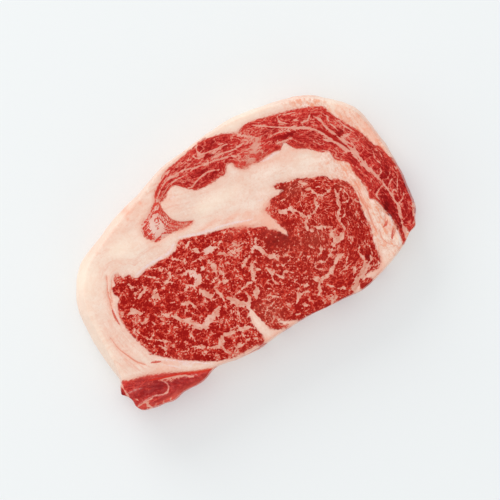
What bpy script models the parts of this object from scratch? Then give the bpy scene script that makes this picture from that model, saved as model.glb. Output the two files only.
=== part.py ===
"""A raw rib-eye beef steak, boneless, as one solid.

The steak lies on one of its two cut faces. +X runs along its length, +Y towards the side
that carries the cap muscle, +Z up. The origin is on the surface it rests on, under the
middle of its outline. Blender's unit is the metre; the sizes below are in millimetres.
"""

import math

import bmesh
import bpy
import numpy as np

MM = 0.001

# Driving dimensions
THICKNESS = 28.0  # between the two cut faces, before the swells of the upper one
FOOT_INSET = 3.0  # the face it rests on lies this far inside the outline
FOOT_RISE = 4.5  # height over which the lower edge is rounded
WIDEST = 0.42  # the side is widest at this share of the thickness
LEAN = 0.66  # share of the slope taken by the leaning side, the rest by the upper edge
EDGE_RISE = 1.6  # height over which the upper edge is rounded

# Facets
COLUMNS = 150  # round the outline
FACE_RINGS = 11  # between the upper edge and the middle of the cut face
POLE_SHARE = 0.06  # size of the innermost ring, as a share of the outline

# The outline at its widest, anticlockwise from the right-hand end. Each point is
# (x, y, slope): the upper edge lies that far inside the outline, because the
# fat cover leans outwards towards the board while a trimmed side stands upright.
OUTLINE = [
    # right-hand end, under its fat cover
    (99.3, 0.0, 2.5),
    (98.8, 10.0, 3.5),
    (97.8, 20.0, 4.5),
    (96.2, 28.0, 5.0),
    (92.6, 33.8, 5.5),
    (87.0, 40.4, 5.0),
    (81.5, 45.2, 4.5),
    (74.0, 50.6, 4.5),
    # long upper side: thin fat over the cap muscle
    (64.0, 54.2, 4.0),
    (52.0, 57.2, 3.5),
    (40.0, 59.4, 3.5),
    (27.0, 60.2, 3.0),
    (13.0, 59.4, 2.2),
    (-2.0, 57.7, 1.5),
    (-16.0, 55.5, 2.0),
    (-30.0, 51.8, 3.2),
    (-44.0, 47.6, 4.2),
    (-57.0, 43.2, 5.0),
    # left-hand end: the thick fat cover
    (-70.0, 38.7, 6.0),
    (-80.0, 34.0, 6.5),
    (-87.8, 26.7, 7.0),
    (-93.2, 17.8, 7.0),
    (-96.5, 7.8, 7.0),
    (-97.9, -4.0, 7.0),
    (-97.2, -16.0, 6.0),
    (-96.3, -27.0, 4.5),
    (-96.0, -34.0, 2.5),
    # the lip: a small muscle below a notch
    (-99.2, -39.4, 2.0),
    (-98.0, -43.2, 2.0),
    (-95.5, -46.0, 1.5),
    (-95.0, -51.0, 1.5),
    (-92.0, -55.0, 1.8),
    (-84.0, -57.3, 2.0),
    (-75.2, -58.8, 2.0),
    (-66.0, -57.8, 1.5),
    (-56.0, -57.9, 1.5),
    (-50.0, -56.0, 1.2),
    (-45.4, -54.8, 1.0),
    # long lower side, where the rib bones were cut away
    (-39.0, -55.8, 2.0),
    (-30.0, -57.8, 2.4),
    (-18.0, -58.6, 2.4),
    (-6.0, -58.0, 2.2),
    (6.0, -57.4, 1.5),
    (20.0, -58.0, 1.0),
    (33.0, -58.8, 1.0),
    (46.0, -60.0, 1.0),
    (57.0, -58.4, 1.5),
    (68.0, -55.6, 2.0),
    (76.5, -52.4, 1.8),
    (82.2, -48.5, 1.2),
    (88.6, -45.1, 1.2),
    (92.8, -40.0, 2.2),
    (96.0, -33.8, 2.4),
    (97.6, -25.0, 2.2),
    (98.9, -14.0, 2.4),
]

# Broad swells and hollows of the upper cut face: (x, y, reach in x, reach in y, rise).
SWELLS = {
    "eye muscle, wide end": (-38.0, -20.0, 34.0, 30.0, 0.7),
    "eye muscle, round end": (36.0, -24.0, 32.0, 30.0, 0.8),
    "kernel of fat": (8.0, 25.0, 46.0, 9.0, -1.0),
    "cap muscle": (62.0, 34.0, 26.0, 14.0, 0.5),
    "left fat cover": (-84.0, 6.0, 12.0, 28.0, -1.2),
    "lip": (-80.0, -52.0, 20.0, 8.0, -2.2),
    "lower right fat": (76.0, -44.0, 12.0, 12.0, -1.2),
}


def smooth_loop(points, count):
    """Closed Catmull-Rom curve through the points, with evenly spaced samples."""
    points = np.array(points)
    before, after = np.roll(points, 1, 0), np.roll(points, -1, 0)
    beyond = np.roll(points, -2, 0)
    steps = 24
    t = (np.arange(steps) / steps)[None, :, None]
    p0, p1, p2, p3 = (p[:, None, :] for p in (before, points, after, beyond))
    fine = 0.5 * (
        2 * p1
        + (p2 - p0) * t
        + (2 * p0 - 5 * p1 + 4 * p2 - p3) * t**2
        + (3 * p1 - p0 - 3 * p2 + p3) * t**3
    ).reshape(-1, points.shape[1])
    closed = np.vstack([fine, fine[:1]])
    lengths = np.hypot(*np.diff(closed[:, :2], axis=0).T)
    along = np.concatenate([[0.0], np.cumsum(lengths)])
    at = np.linspace(0.0, along[-1], count, endpoint=False)
    return np.stack([np.interp(at, along, c) for c in closed.T], axis=1)


def inward_normals(loop):
    """Unit vectors that point into an anticlockwise loop."""
    tangent = np.roll(loop, -1, 0) - np.roll(loop, 1, 0)
    tangent /= np.linalg.norm(tangent, axis=1, keepdims=True)
    return np.stack([-tangent[:, 1], tangent[:, 0]], axis=1)


def face_height(x, y):
    """Height of the upper cut face: the thickness, plus each swell as a bell curve."""
    height = np.full_like(x, THICKNESS)
    for cx, cy, reach_x, reach_y, rise in SWELLS.values():
        height += rise * np.exp(-(((x - cx) / reach_x) ** 2) - ((y - cy) / reach_y) ** 2)
    return height


def side_levels(top):
    """Levels of the side, from the board up to the upper edge at the heights in top.

    Yields (tuck, lean, heights): a level lies inside the outline by tuck times
    FOOT_INSET plus lean times the slope of each outline point.
    """
    quarter = math.pi / 2
    for turn in np.linspace(0.0, quarter, 5):  # the rounded lower edge
        yield 1 - math.sin(turn), 0.0, np.full_like(top, FOOT_RISE * (1 - math.cos(turn)))
    for share in (0.0, 0.3, 0.6, 1.0):  # the bulge, then the leaning side
        climb = WIDEST + (1 - WIDEST) * share
        yield 0.0, LEAN * share**1.5, (top - EDGE_RISE) * climb
    for turn in np.linspace(0.0, quarter, 4)[1:]:  # the rounded upper edge
        lean = LEAN + (1 - LEAN) * (1 - math.cos(turn))
        yield 0.0, lean, top - EDGE_RISE * (1 - math.sin(turn))


def steak_rings():
    """Rings of points, from the flat lower face up the side and in over the cut face."""
    loop = smooth_loop(OUTLINE, COLUMNS)
    outline, slope = loop[:, :2], loop[:, 2:]
    inward = inward_normals(outline)
    edge = outline + inward * slope
    rings = []
    for tuck, lean, heights in side_levels(face_height(edge[:, 0], edge[:, 1])):
        flat = outline + inward * (tuck * FOOT_INSET + lean * slope)
        rings.append(np.column_stack([flat, heights]))
    for share in np.linspace(1.0, POLE_SHARE, FACE_RINGS + 1)[1:]:
        flat = edge * share
        rings.append(np.column_stack([flat, face_height(flat[:, 0], flat[:, 1])]))
    return rings


def steak_mesh():
    """Bridges the rings, closes the lower face flat and the upper face at its middle."""
    bm = bmesh.new()
    verts, edges = [], []
    for ring in steak_rings():
        verts.append([bm.verts.new(point * MM) for point in ring])
        edges.append([bm.edges.new(pair) for pair in zip(verts[-1], verts[-1][1:] + verts[-1][:1])])
    for lower, upper in zip(edges, edges[1:]):
        bmesh.ops.bridge_loops(bm, edges=lower + upper)
    bm.faces.new(reversed(verts[0]))
    middle = bm.faces.new(verts[-1])
    bmesh.ops.poke(bm, faces=[middle])
    bmesh.ops.recalc_face_normals(bm, faces=bm.faces)
    mesh = bpy.data.meshes.new("steak")
    bm.to_mesh(mesh)
    bm.free()
    mesh.shade_smooth()
    mesh.set_sharp_from_angle(angle=math.radians(40))
    return mesh


def raw_meat():
    """Moist marbled beef, the mean of its lean and its fat."""
    material = bpy.data.materials.new("raw_beef")
    material.use_nodes = True
    shader = material.node_tree.nodes["Principled BSDF"]
    shader.inputs["Base Color"].default_value = (0.47, 0.13, 0.10, 1.0)
    shader.inputs["Roughness"].default_value = 0.42
    shader.inputs["Metallic"].default_value = 0.0
    return material


def main():
    for old in list(bpy.data.objects):
        bpy.data.objects.remove(old)
    steak = bpy.data.objects.new("steak", steak_mesh())
    steak.data.materials.append(raw_meat())
    bpy.context.scene.collection.objects.link(steak)


main()
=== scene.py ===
# %% [markdown]
# # A raw rib-eye steak
# A steak is a slice across several muscles that are wrapped in fat. Its two cut faces show
# the same layout, and its side shows the outside of the fat. This lesson makes one closed
# skin for the whole slice and paints on it from measured distances: how far each point lies
# inside a muscle, and how far from the nearest seam of fat.

import math

import bpy
import numpy as np
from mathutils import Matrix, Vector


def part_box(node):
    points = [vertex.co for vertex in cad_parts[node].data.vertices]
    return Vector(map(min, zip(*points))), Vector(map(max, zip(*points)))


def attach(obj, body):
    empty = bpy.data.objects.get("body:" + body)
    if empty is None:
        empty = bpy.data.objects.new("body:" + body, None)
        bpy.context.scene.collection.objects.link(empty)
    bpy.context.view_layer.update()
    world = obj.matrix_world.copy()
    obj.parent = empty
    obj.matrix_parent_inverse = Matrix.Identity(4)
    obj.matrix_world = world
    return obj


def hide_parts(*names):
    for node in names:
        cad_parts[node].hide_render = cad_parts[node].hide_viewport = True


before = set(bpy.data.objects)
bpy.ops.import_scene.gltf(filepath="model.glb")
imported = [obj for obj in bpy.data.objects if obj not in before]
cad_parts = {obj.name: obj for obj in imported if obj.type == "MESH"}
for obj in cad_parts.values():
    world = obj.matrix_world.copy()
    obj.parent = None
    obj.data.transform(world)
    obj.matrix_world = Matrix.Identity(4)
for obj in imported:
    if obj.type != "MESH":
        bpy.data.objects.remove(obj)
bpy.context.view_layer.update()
low, high = (np.array(corner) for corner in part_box("steak"))
MM = 0.001
print("the solid steak measures", np.round((high - low) / MM, 1), "mm")

# %% [markdown]
# ## Smooth curves through a few points
# Every outline and every seam below is a short list of places in millimetres: +X along the
# steak, +Y towards its cap muscle. A Catmull-Rom curve passes through all of them, so each
# number stays readable as a place on the meat. A Bezier curve would need handles as well.


# %% Curves
def smooth(points, closed=True, steps=8):
    """Catmull-Rom curve. Between two points p1 and p2 with neighbours p0 and p3 it is half of
    2 p1 + (p2 - p0) t + (2 p0 - 5 p1 + 4 p2 - p3) t^2 + (3 p1 - p0 - 3 p2 + p3) t^3."""
    points = np.array(points, float)
    if not closed:
        points = np.vstack([2 * points[0] - points[1], points, 2 * points[-1] - points[-2]])
    p0, p1, p2, p3 = (np.roll(points, shift, 0)[:, None, :] for shift in (1, 0, -1, -2))
    t = (np.arange(steps) / steps)[None, :, None]
    curve = (2 * p1 + (p2 - p0) * t + (2 * p0 - 5 * p1 + 4 * p2 - p3) * t**2
             + (3 * p1 - p0 - 3 * p2 + p3) * t**3) / 2
    if closed:
        return curve.reshape(-1, points.shape[1])
    inner = curve[1:-2].reshape(-1, points.shape[1])
    return np.vstack([inner, points[-2]])


def evenly(curve, count):
    """The open curve sampled again at count + 1 places, evenly by its length in x and y."""
    along = np.concatenate([[0], np.cumsum(np.hypot(*np.diff(curve[:, :2], axis=0).T))])
    at = np.linspace(0, along[-1], count + 1)
    return np.stack([np.interp(at, along, column) for column in curve.T], axis=1)


def enclosed(loop):
    """Area inside a loop, by the shoelace formula: half the sum of x(i) y(i+1) - x(i+1) y(i)."""
    x, y = loop.T
    return abs(np.sum(x * np.roll(y, -1) - np.roll(x, -1) * y)) / 2


# %% [markdown]
# ## The outline of the slice
# Each point has a third number, how far the upper edge lies inside the widest outline. It is
# large at the left, where the thick fat cover leans outwards, and small where the side was
# trimmed straight down.

# %% Outline
OUTLINE = [
    # right-hand end
    (99, 0, 2.2), (98.4, 10, 2.8), (97.4, 19.5, 3.2), (95.6, 27.5, 3.4), (92.2, 33.2, 3.6),
    (86.5, 39.6, 3.6), (80.8, 44.8, 3.4), (73.5, 50, 3.2),
    # long upper side
    (63.5, 53.6, 3), (52, 56.4, 2.8), (40, 58.6, 2.8), (30, 59.6, 2.4), (18, 59.2, 2), (6, 58.2, 1.6),
    (-8, 56.9, 1.6), (-19, 54.9, 2.2), (-31, 51, 3), (-44, 47.2, 3.8), (-57, 43, 4.6),
    # left-hand end
    (-70, 38.4, 5.5), (-80, 33.8, 6.2), (-87.4, 26.6, 6.6), (-92.8, 17.8, 6.8), (-96.1, 7.8, 6.8),
    (-97.2, -4, 6.6), (-96.8, -16, 5.8), (-96.1, -27, 4.2), (-95.4, -33.6, 2),
    # the lip
    (-97.4, -37, 1.4), (-98.9, -40.6, 1.2), (-96.6, -43.4, 1), (-95.2, -46.6, 1), (-95.1, -50.8, 1),
    (-92.6, -54.6, 1.2), (-86.5, -56.4, 1.2), (-80, -57.6, 1.2), (-74.6, -58.6, 1.3), (-67.5, -57.4, 1.2),
    (-60, -57.8, 1), (-54, -57.2, 0.9), (-49.5, -55.4, 0.8), (-45.4, -54.5, 0.8),
    # long lower side
    (-40.5, -55.6, 1.4), (-34, -57, 1.8), (-25, -58, 2), (-15, -58.2, 2), (-5, -57.4, 1.8),
    (5, -56.9, 1.4), (14, -56.9, 1), (24, -58, 0.8), (35, -58.6, 0.8), (46, -59.6, 0.8), (56, -58, 1.2),
    (66, -55.3, 1.6), (75, -52, 1.6), (81, -48.8, 1), (85, -46, 0.9), (89.6, -44.4, 0.9), (92, -40, 1.6),
    (95.2, -35, 1.8), (96.6, -26, 1.8), (98.4, -14, 2),
]
outline = smooth(OUTLINE, steps=16)
print("the outline spans", np.ptp(outline[:, :2], axis=0).round(1), "mm")

# %% [markdown]
# ## One ring of columns
# The skin is two grids, one for each cut face, joined by a band round the side. A grid has
# four corners, so four places on the outline are named as corners, and the ring is sampled
# evenly between them. The vertices of the ring then belong to the grid and to the band.

# %% Ring
ACROSS, UP = 250, 150
CORNERS = [(-95, -51), (91.5, -41.5), (90, 36), (-85, 30)]


def ring_of(loop, corners):
    """The loop from corner to corner, anticlockwise from the lower side, in ACROSS or UP spans."""
    starts = [int(np.argmin(np.hypot(*(loop[:, :2] - corner).T))) for corner in corners]
    sides = []
    for start, stop, spans in zip(starts, starts[1:] + starts[:1], (ACROSS, UP, ACROSS, UP)):
        stretch = np.roll(loop, -start, 0)[: (stop - start) % len(loop) + 1]
        sides.append(evenly(stretch, spans)[:-1])
    return np.vstack(sides)


def inward(loop):
    """Unit vectors into an anticlockwise loop: the tangent turned a quarter turn left."""
    tangent = np.roll(loop, -2, 0) - np.roll(loop, 2, 0)
    tangent /= np.linalg.norm(tangent, axis=1, keepdims=True)
    return np.stack([-tangent[:, 1], tangent[:, 0]], axis=1)


ring = ring_of(outline, CORNERS)
widest, slope = ring[:, :2], ring[:, 2]
into = inward(widest)
upper_edge = widest + into * slope[:, None]
print("the ring has", len(ring), "columns")

# %% [markdown]
# ## Filling the ring with a grid
# A Coons patch fills a four-sided outline: it adds the blend between the lower and upper
# side to the blend between left and right, and takes away the blend of the four corners,
# which was counted twice.


# %% Grid
def patch(loop):
    """Coons patch of a ring: (1-v) B(u) + v T(u) + (1-u) L(v) + u R(v) - corners(u, v)."""
    a, b, c = ACROSS, ACROSS + UP, 2 * ACROSS + UP
    below, right = loop[: a + 1], loop[a : b + 1]
    above, left = loop[b : c + 1][::-1], np.vstack([loop[c:], loop[:1]])[::-1]
    u = np.linspace(0, 1, ACROSS + 1)[None, :, None]
    v = np.linspace(0, 1, UP + 1)[:, None, None]
    corners = ((1 - u) * (1 - v) * below[0] + u * (1 - v) * below[-1]
               + (1 - u) * v * above[0] + u * v * above[-1])
    return ((1 - v) * below[None] + v * above[None]
            + (1 - u) * left[:, None] + u * right[:, None] - corners)


def rim_places():
    """Row-major places of the ring's columns in a grid, in the ring's own order."""
    rows = np.arange(UP + 1)
    cols = np.arange(ACROSS + 1)
    width = ACROSS + 1
    return np.concatenate([cols[:-1], rows[:-1] * width + ACROSS,
                           UP * width + cols[:0:-1], rows[:0:-1] * width])


face_plan = patch(upper_edge).reshape(-1, 2)
count = len(face_plan)
rim = rim_places()
spacing = math.sqrt(enclosed(upper_edge) / count)
print("each cut face has", count, "vertices, about", round(spacing, 2), "mm apart")

# %% [markdown]
# ## Distances, the measure that everything is painted from
# A painted edge is only as fine as what carries it. A colour stored on vertices would be
# blurred over a whole face, but a distance changes evenly from vertex to vertex, so the
# line where it is zero stays sharp. Three kinds of distance are used: to a closed outline
# (positive inside), and to a stroke, both with a side (left or right of it) and without.

# %% Distances
TINY, FAR = 1e-12, 50


def to_segments(places, starts, ends):
    """For each place: the index of the nearest segment, the distance, how far along it
    (0 to 1), and the side as +1 or -1."""
    best = np.full(len(places), np.inf)
    index, along, side = np.zeros(len(places), int), np.zeros(len(places)), np.ones(len(places))
    for number, (start, end) in enumerate(zip(starts, ends)):
        span = end - start
        offset = places - start
        t = np.clip(offset @ span / (span @ span + TINY), 0, 1)
        distance = np.hypot(*(offset - t[:, None] * span).T)
        nearer = distance < best
        best = np.where(nearer, distance, best)
        index[nearer] = number
        along[nearer] = t[nearer]
        turn = span[0] * offset[:, 1] - span[1] * offset[:, 0]
        side = np.where(nearer, np.where(turn < 0, -1.0, 1.0), side)
    return index, best, along, side


def inside(places, loop):
    """Even-odd rule: an odd number of the loop's edges lies to the right of the place."""
    odd = np.zeros(len(places), bool)
    for (x0, y0), (x1, y1) in zip(loop, np.roll(loop, -1, 0)):
        if y0 == y1:
            continue
        crosses = (y0 > places[:, 1]) != (y1 > places[:, 1])
        odd ^= crosses & (places[:, 0] < (x1 - x0) * (places[:, 1] - y0) / (y1 - y0) + x0)
    return odd


def depth_inside(places, points, steps=5):
    """Distance to a closed outline in mm, positive inside it."""
    loop = smooth(points, steps=steps)
    _, distance, _, _ = to_segments(places, loop, np.roll(loop, -1, 0))
    return np.where(inside(places, loop), distance, -distance)


def stroke_field(places, strokes, steps=4, reach=4.0):
    """Nearest stroke of many, each a list of (x, y, width): the distance with its side, the
    plain distance and half the width there, all in mm. Places out of reach keep a far value."""
    field = np.tile([FAR, FAR, 0.0], (len(places), 1))
    for stroke in strokes:
        curve = smooth(stroke, closed=False, steps=steps)
        low_corner, high_corner = curve[:, :2].min(0) - reach, curve[:, :2].max(0) + reach
        near = np.flatnonzero(((places > low_corner) & (places < high_corner)).all(1))
        index, distance, along, side = to_segments(places[near], curve[:-1, :2], curve[1:, :2])
        half = (curve[index, 2] * (1 - along) + curve[index + 1, 2] * along) / 2
        closer = distance - half < field[near, 1] - field[near, 2]
        field[near[closer]] = np.stack([distance * side, distance, half], axis=1)[closer]
    return field


# %% [markdown]
# ## The muscles
# Four pieces of muscle show: the large round eye, the cap that curves round it, the lip below
# the thick fat cover and a small oval. They are drawn with a point only where the edge turns.

# %% Outline of the eye
EYE = [
    (-72.5, 12.5), (-70, 13), (-69.5, 15.5), (-68.5, 17.2), (-66.5, 18), (-65.3, 17.3), (-64.5, 14.5),
    (-61, 14.2), (-59.5, 12.5), (-57, 10.4), (-52, 11.3), (-45, 11.8), (-41.5, 12), (-38, 11.2),
    (-34, 11.8), (-31.5, 12.5), (-28.5, 15.3), (-26, 16), (-20, 14.3), (-14, 12), (-7, 10), (0, 8),
    (5, 5), (11, 1.5), (15, 0), (18, -2.2), (18.4, -4.4), (20.4, -5), (22.2, -6.6), (23.2, -8.6),
    (24.6, -10.8), (25.4, -12.8), (26.2, -9.8), (25.2, -6.6), (24.4, -3.6), (23.6, 0.2), (22.6, 3.4),
    (22, 5.6), (26, 7.5), (29, 9.7), (33, 9.9), (36.4, 10.2), (34.6, 12), (33.2, 13.6), (32.5, 14.8),
    (34.5, 15.1), (37.5, 14.6), (40, 13.2), (45, 12.5), (50, 10), (55, 7.5), (60, 5.5), (62, 1.8),
    (65, 0.8), (68.5, -3), (70.2, -7), (70, -14), (68.5, -21), (67.8, -26), (67.3, -33), (64.7, -40),
    (63.3, -48), (61.5, -52.6), (58.5, -54.2), (54.5, -53), (50.5, -54), (46.5, -56), (42, -58),
    (36, -58.6), (26, -58.4), (16, -57.2), (10.2, -57), (6.1, -55.2), (2.6, -53.4), (-0.8, -51.4),
    (-2.2, -49), (-2.8, -50.6), (-2, -52.6), (-0.4, -54), (1.4, -55.2), (-1.2, -55.6), (-4, -54.8),
    (-6.8, -53.5), (-9, -51.6), (-10.2, -47), (-11.3, -42.6), (-12.5, -37), (-13.6, -37), (-15.4, -40.6),
    (-15.9, -44.6), (-15.2, -49.4), (-14.2, -54), (-15.4, -56), (-18, -56.6), (-20.2, -55.6),
    (-25, -55.4), (-33, -55), (-40, -53.2), (-45, -51), (-53, -46), (-60, -41), (-67, -35), (-72, -30),
    (-75, -21), (-77, -11), (-76.5, -2), (-74.6, 3), (-71.9, 5.2), (-73, 9),
]
print(len(EYE), "points")

# %% Outline of the cap
CAP = [
    (-42, 29), (-40.5, 34), (-36, 36.5), (-31, 39), (-28, 40.7), (-26.8, 42.5), (-25, 45.5), (-20, 49.3),
    (-15, 52.4), (-10, 53.5), (-2, 54.8), (6, 56.3), (12, 57), (18, 56), (25, 53.8), (29, 51.2), (31, 50),
    (33, 50.7), (37, 52.3), (44, 51.2), (52, 49), (60, 47), (70, 43.5), (75, 41.3), (79.2, 38.8),
    (80.4, 35), (82.4, 30), (86, 23), (90, 15), (92.3, 6.5), (94.5, 3.8), (96.2, -3), (97.2, -11),
    (97.4, -19.5), (97, -27), (96.6, -31.4), (95.4, -35.2), (93.6, -38.6), (91.4, -41.6), (89, -43.6),
    (84.6, -45.8), (83.8, -42), (82.6, -45), (80, -48.8), (77.2, -50.6), (78.8, -46), (79.3, -42),
    (80, -35), (79, -30), (78.5, -24), (77, -20), (75.2, -18), (76.5, -12), (75, -1), (75, 4.5),
    (69.8, 10), (69.2, 15.4), (64.5, 18), (60, 23), (54.5, 26), (52.6, 29), (51.4, 31.6), (49.8, 33),
    (48.6, 31.6), (46.6, 30.2), (44.4, 30.6), (41, 31.2), (36, 30.8), (32, 31), (29.6, 32.6),
    (28.2, 32.4), (26, 31.4), (23.4, 32.4), (21, 34.8), (19.8, 37.6), (18, 38.4), (16, 37.4),
    (13.5, 34.2), (10.5, 34.5), (5, 34), (-3, 34.5), (-6.5, 36.5), (-10, 40), (-13, 43), (-17, 43.2),
    (-22, 39.7), (-26, 39.5), (-26.5, 33), (-24.5, 27), (-20, 23.5), (-15.5, 21.2), (-20, 20.7),
    (-30, 21.8), (-38.5, 22.2),
]
print(len(CAP), "points")

# %% Outlines of the lip and the small oval
LIP = [
    (-96, -35.6), (-94.5, -33.8), (-90, -36), (-83, -38), (-76, -40.5), (-70, -43.5), (-64, -47),
    (-56, -51), (-48, -54), (-45.4, -54.9), (-50, -56.2), (-54, -58.2), (-60, -59.2), (-67.5, -59),
    (-74.6, -60.4), (-80, -59.4), (-86.5, -58.2), (-93.2, -55.8), (-96.4, -51), (-96.6, -46.6),
    (-98, -43.6), (-100.2, -40.6), (-98.4, -36.6),
]
SMALL_OVAL = [(45, -57.2), (47.5, -55.2), (51, -55), (53.6, -56.4), (52, -59), (47, -59.8)]
MUSCLES = {"eye": EYE, "cap": CAP, "lip": LIP, "small oval": SMALL_OVAL}
for name, points in MUSCLES.items():
    print(f"{name}: {len(points)} points, {enclosed(smooth(points)) / 100:.1f} square cm")

# %% [markdown]
# ## Seams of fat in the lean
# Each seam is a stroke of (x, y, width). Short wide ones are islands of fat.

# %% Islands at the wide end of the eye, from left to right
ISLANDS = [
    [(-63.4, 9, 1.4), (-62.4, 7.4, 2.2), (-61.4, 6, 1.2)],
    [(-61.8, 0.8, 1.6), (-59.4, 1.4, 2.6), (-57, 2.8, 1.6)], [(-62.8, 3.4, 0.8), (-61.8, 2.2, 0.8)],
    [(-56.4, -3, 1.4), (-53.6, -3.6, 2.8), (-51.8, -3.2, 1.4)], [(-53, -5.6, 1.4), (-53.4, -3.8, 2.2)],
    [(-52.8, -0.6, 1.2), (-52.2, -0.4, 1.2)],
    [(-71.6, -4.2, 1.6), (-69, -4.4, 3.2), (-67, -6.4, 2.4), (-66, -8, 1.2)],
    [(-67.8, -12.8, 1.8), (-65.6, -12.6, 2.4), (-63, -11.4, 1.4)],
    [(-62.8, -15.6, 1.6), (-62, -16.8, 1.6)], [(-58.4, -14.8, 0.9), (-57.6, -17, 1.2)],
    [(-60.6, -3.4, 1.2), (-59.8, -3.2, 1.2)], [(-49.4, 2.8, 1.2), (-48.6, 2.2, 1.2)],
    [(-51.4, 7.2, 1), (-50.6, 6.6, 1)], [(-46.6, 9.6, 0.8), (-44.6, 8.8, 1), (-42.6, 9.4, 0.8)],
    [(-45, 7.2, 1.6), (-43.2, 7.4, 1.4)],
    [(-41.2, 6.4, 1), (-41.4, 3.4, 1.4), (-42.6, 0.6, 2.8), (-44.4, 0, 3), (-45.8, 0.8, 1.4)],
    [(-44, -0.6, 2.6), (-42.4, -1.8, 1.4)],
    [(-34.4, -1.4, 2), (-31.4, -2, 3.2), (-29.4, -4, 3.8), (-28.6, -6.8, 3.8), (-30, -9.4, 2.6)],
    [(-30.4, -9.6, 2), (-32.6, -9.4, 1.2), (-36.2, -8.2, 1.8), (-38.6, -9.2, 1.2)],
    [(-37.6, 7.6, 0.8), (-34.6, 8.6, 1.2), (-32.2, 6.6, 0.9), (-30.6, 4, 1.2), (-31, 2.2, 1),
     (-34.4, 1.6, 0.8)],
    [(-25.4, 11.2, 1.6), (-23, 12.2, 2)], [(-28.6, 14.2, 0.8), (-28.2, 12.4, 0.8)],
    [(-26.4, 14, 0.7), (-26.6, 11.6, 0.7)], [(-23.6, 8.2, 1.6), (-22.2, 7, 2.2), (-21.6, 5.4, 1.6)],
    [(-27.6, 1.6, 0.7), (-25, 2.4, 0.8)], [(-25, -4.4, 1.2), (-23.4, -3.4, 1.8)],
    [(-48.6, -11.2, 1), (-47, -11.6, 1.8)],
    [(-19.2, 4.4, 1.6), (-17, 3.2, 3.8), (-14.6, 2.8, 3.4), (-12.4, 2.2, 2.4), (-10.4, 2.4, 1.2),
     (-8.2, 3.6, 1.4)],
    [(-18.6, -2.6, 2), (-17.8, -5, 2.2), (-18.4, -7.8, 2.2), (-18.8, -10.6, 1)],
    [(-12.4, -1.4, 1.4), (-10.6, -2, 2), (-9.4, -3.2, 0.9)], [(-22.4, -13.2, 1.4), (-20.2, -12.4, 1.6)],
    [(-16.4, -10.2, 1), (-15.4, -13.4, 1.2)], [(-17.8, -17, 1.6), (-15.6, -16.4, 1.6)],
    [(-31.2, -13.6, 1.6), (-30, -16.2, 2.8), (-28.8, -18.8, 2.6), (-26.8, -19.4, 1)],
]
print(len(ISLANDS), "strokes")

# %% Seams at the wide end of the eye, the long curved one first
WIDE_END_SEAMS = [
    [(-56, -14.4, 1.4), (-53.6, -16.2, 2.8), (-51.2, -18, 2.4), (-50, -20.8, 1.6), (-48.4, -23, 2.2),
     (-45.8, -25, 2.6), (-43.6, -28, 2.6), (-42, -30.6, 3.5), (-39.5, -31.6, 4.6), (-36, -30.8, 3.8),
     (-32, -29.2, 4.5), (-28.6, -28, 3.6), (-26.6, -27.4, 1.8)],
    [(-55.6, -20.2, 0.9), (-53.6, -22, 0.9)],
    [(-43.2, -15, 1.6), (-41.2, -16.2, 2.8), (-39.2, -17, 2), (-38.2, -20, 1.6), (-37.6, -23.6, 1)],
    [(-43.4, -18.8, 1), (-44.8, -20, 1)], [(-48.4, -28.4, 0.6), (-46.4, -28, 0.6), (-45.4, -30, 0.6)],
    [(-48.2, -30, 0.7), (-48.2, -36, 0.6)], [(-28.4, -35.6, 1.2), (-30, -38.4, 1.2)],
    [(-32.6, -36.6, 0.7), (-31.4, -34.8, 0.7), (-30, -35.6, 0.7)],
    [(-73.6, -13, 0.9), (-71.4, -18.6, 1.1), (-69.6, -21.6, 1.2), (-66.6, -24, 1.1), (-63, -27, 1.2),
     (-60, -29.6, 0.8)],
    [(-66, -28.4, 1.4), (-65, -31.2, 1.4), (-65.4, -34.4, 1)],
    [(-55.2, -32.4, 1.2), (-53.2, -34, 2.2), (-51.4, -36, 1.2)], [(-57.2, -37.4, 1), (-54.6, -38.4, 1.2)],
    [(-23.6, -46, 0.8), (-23.2, -50, 0.9), (-20.8, -51, 0.8), (-18.4, -52.2, 0.9), (-16.2, -54.8, 0.9)],
]
print(len(WIDE_END_SEAMS), "strokes")

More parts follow.
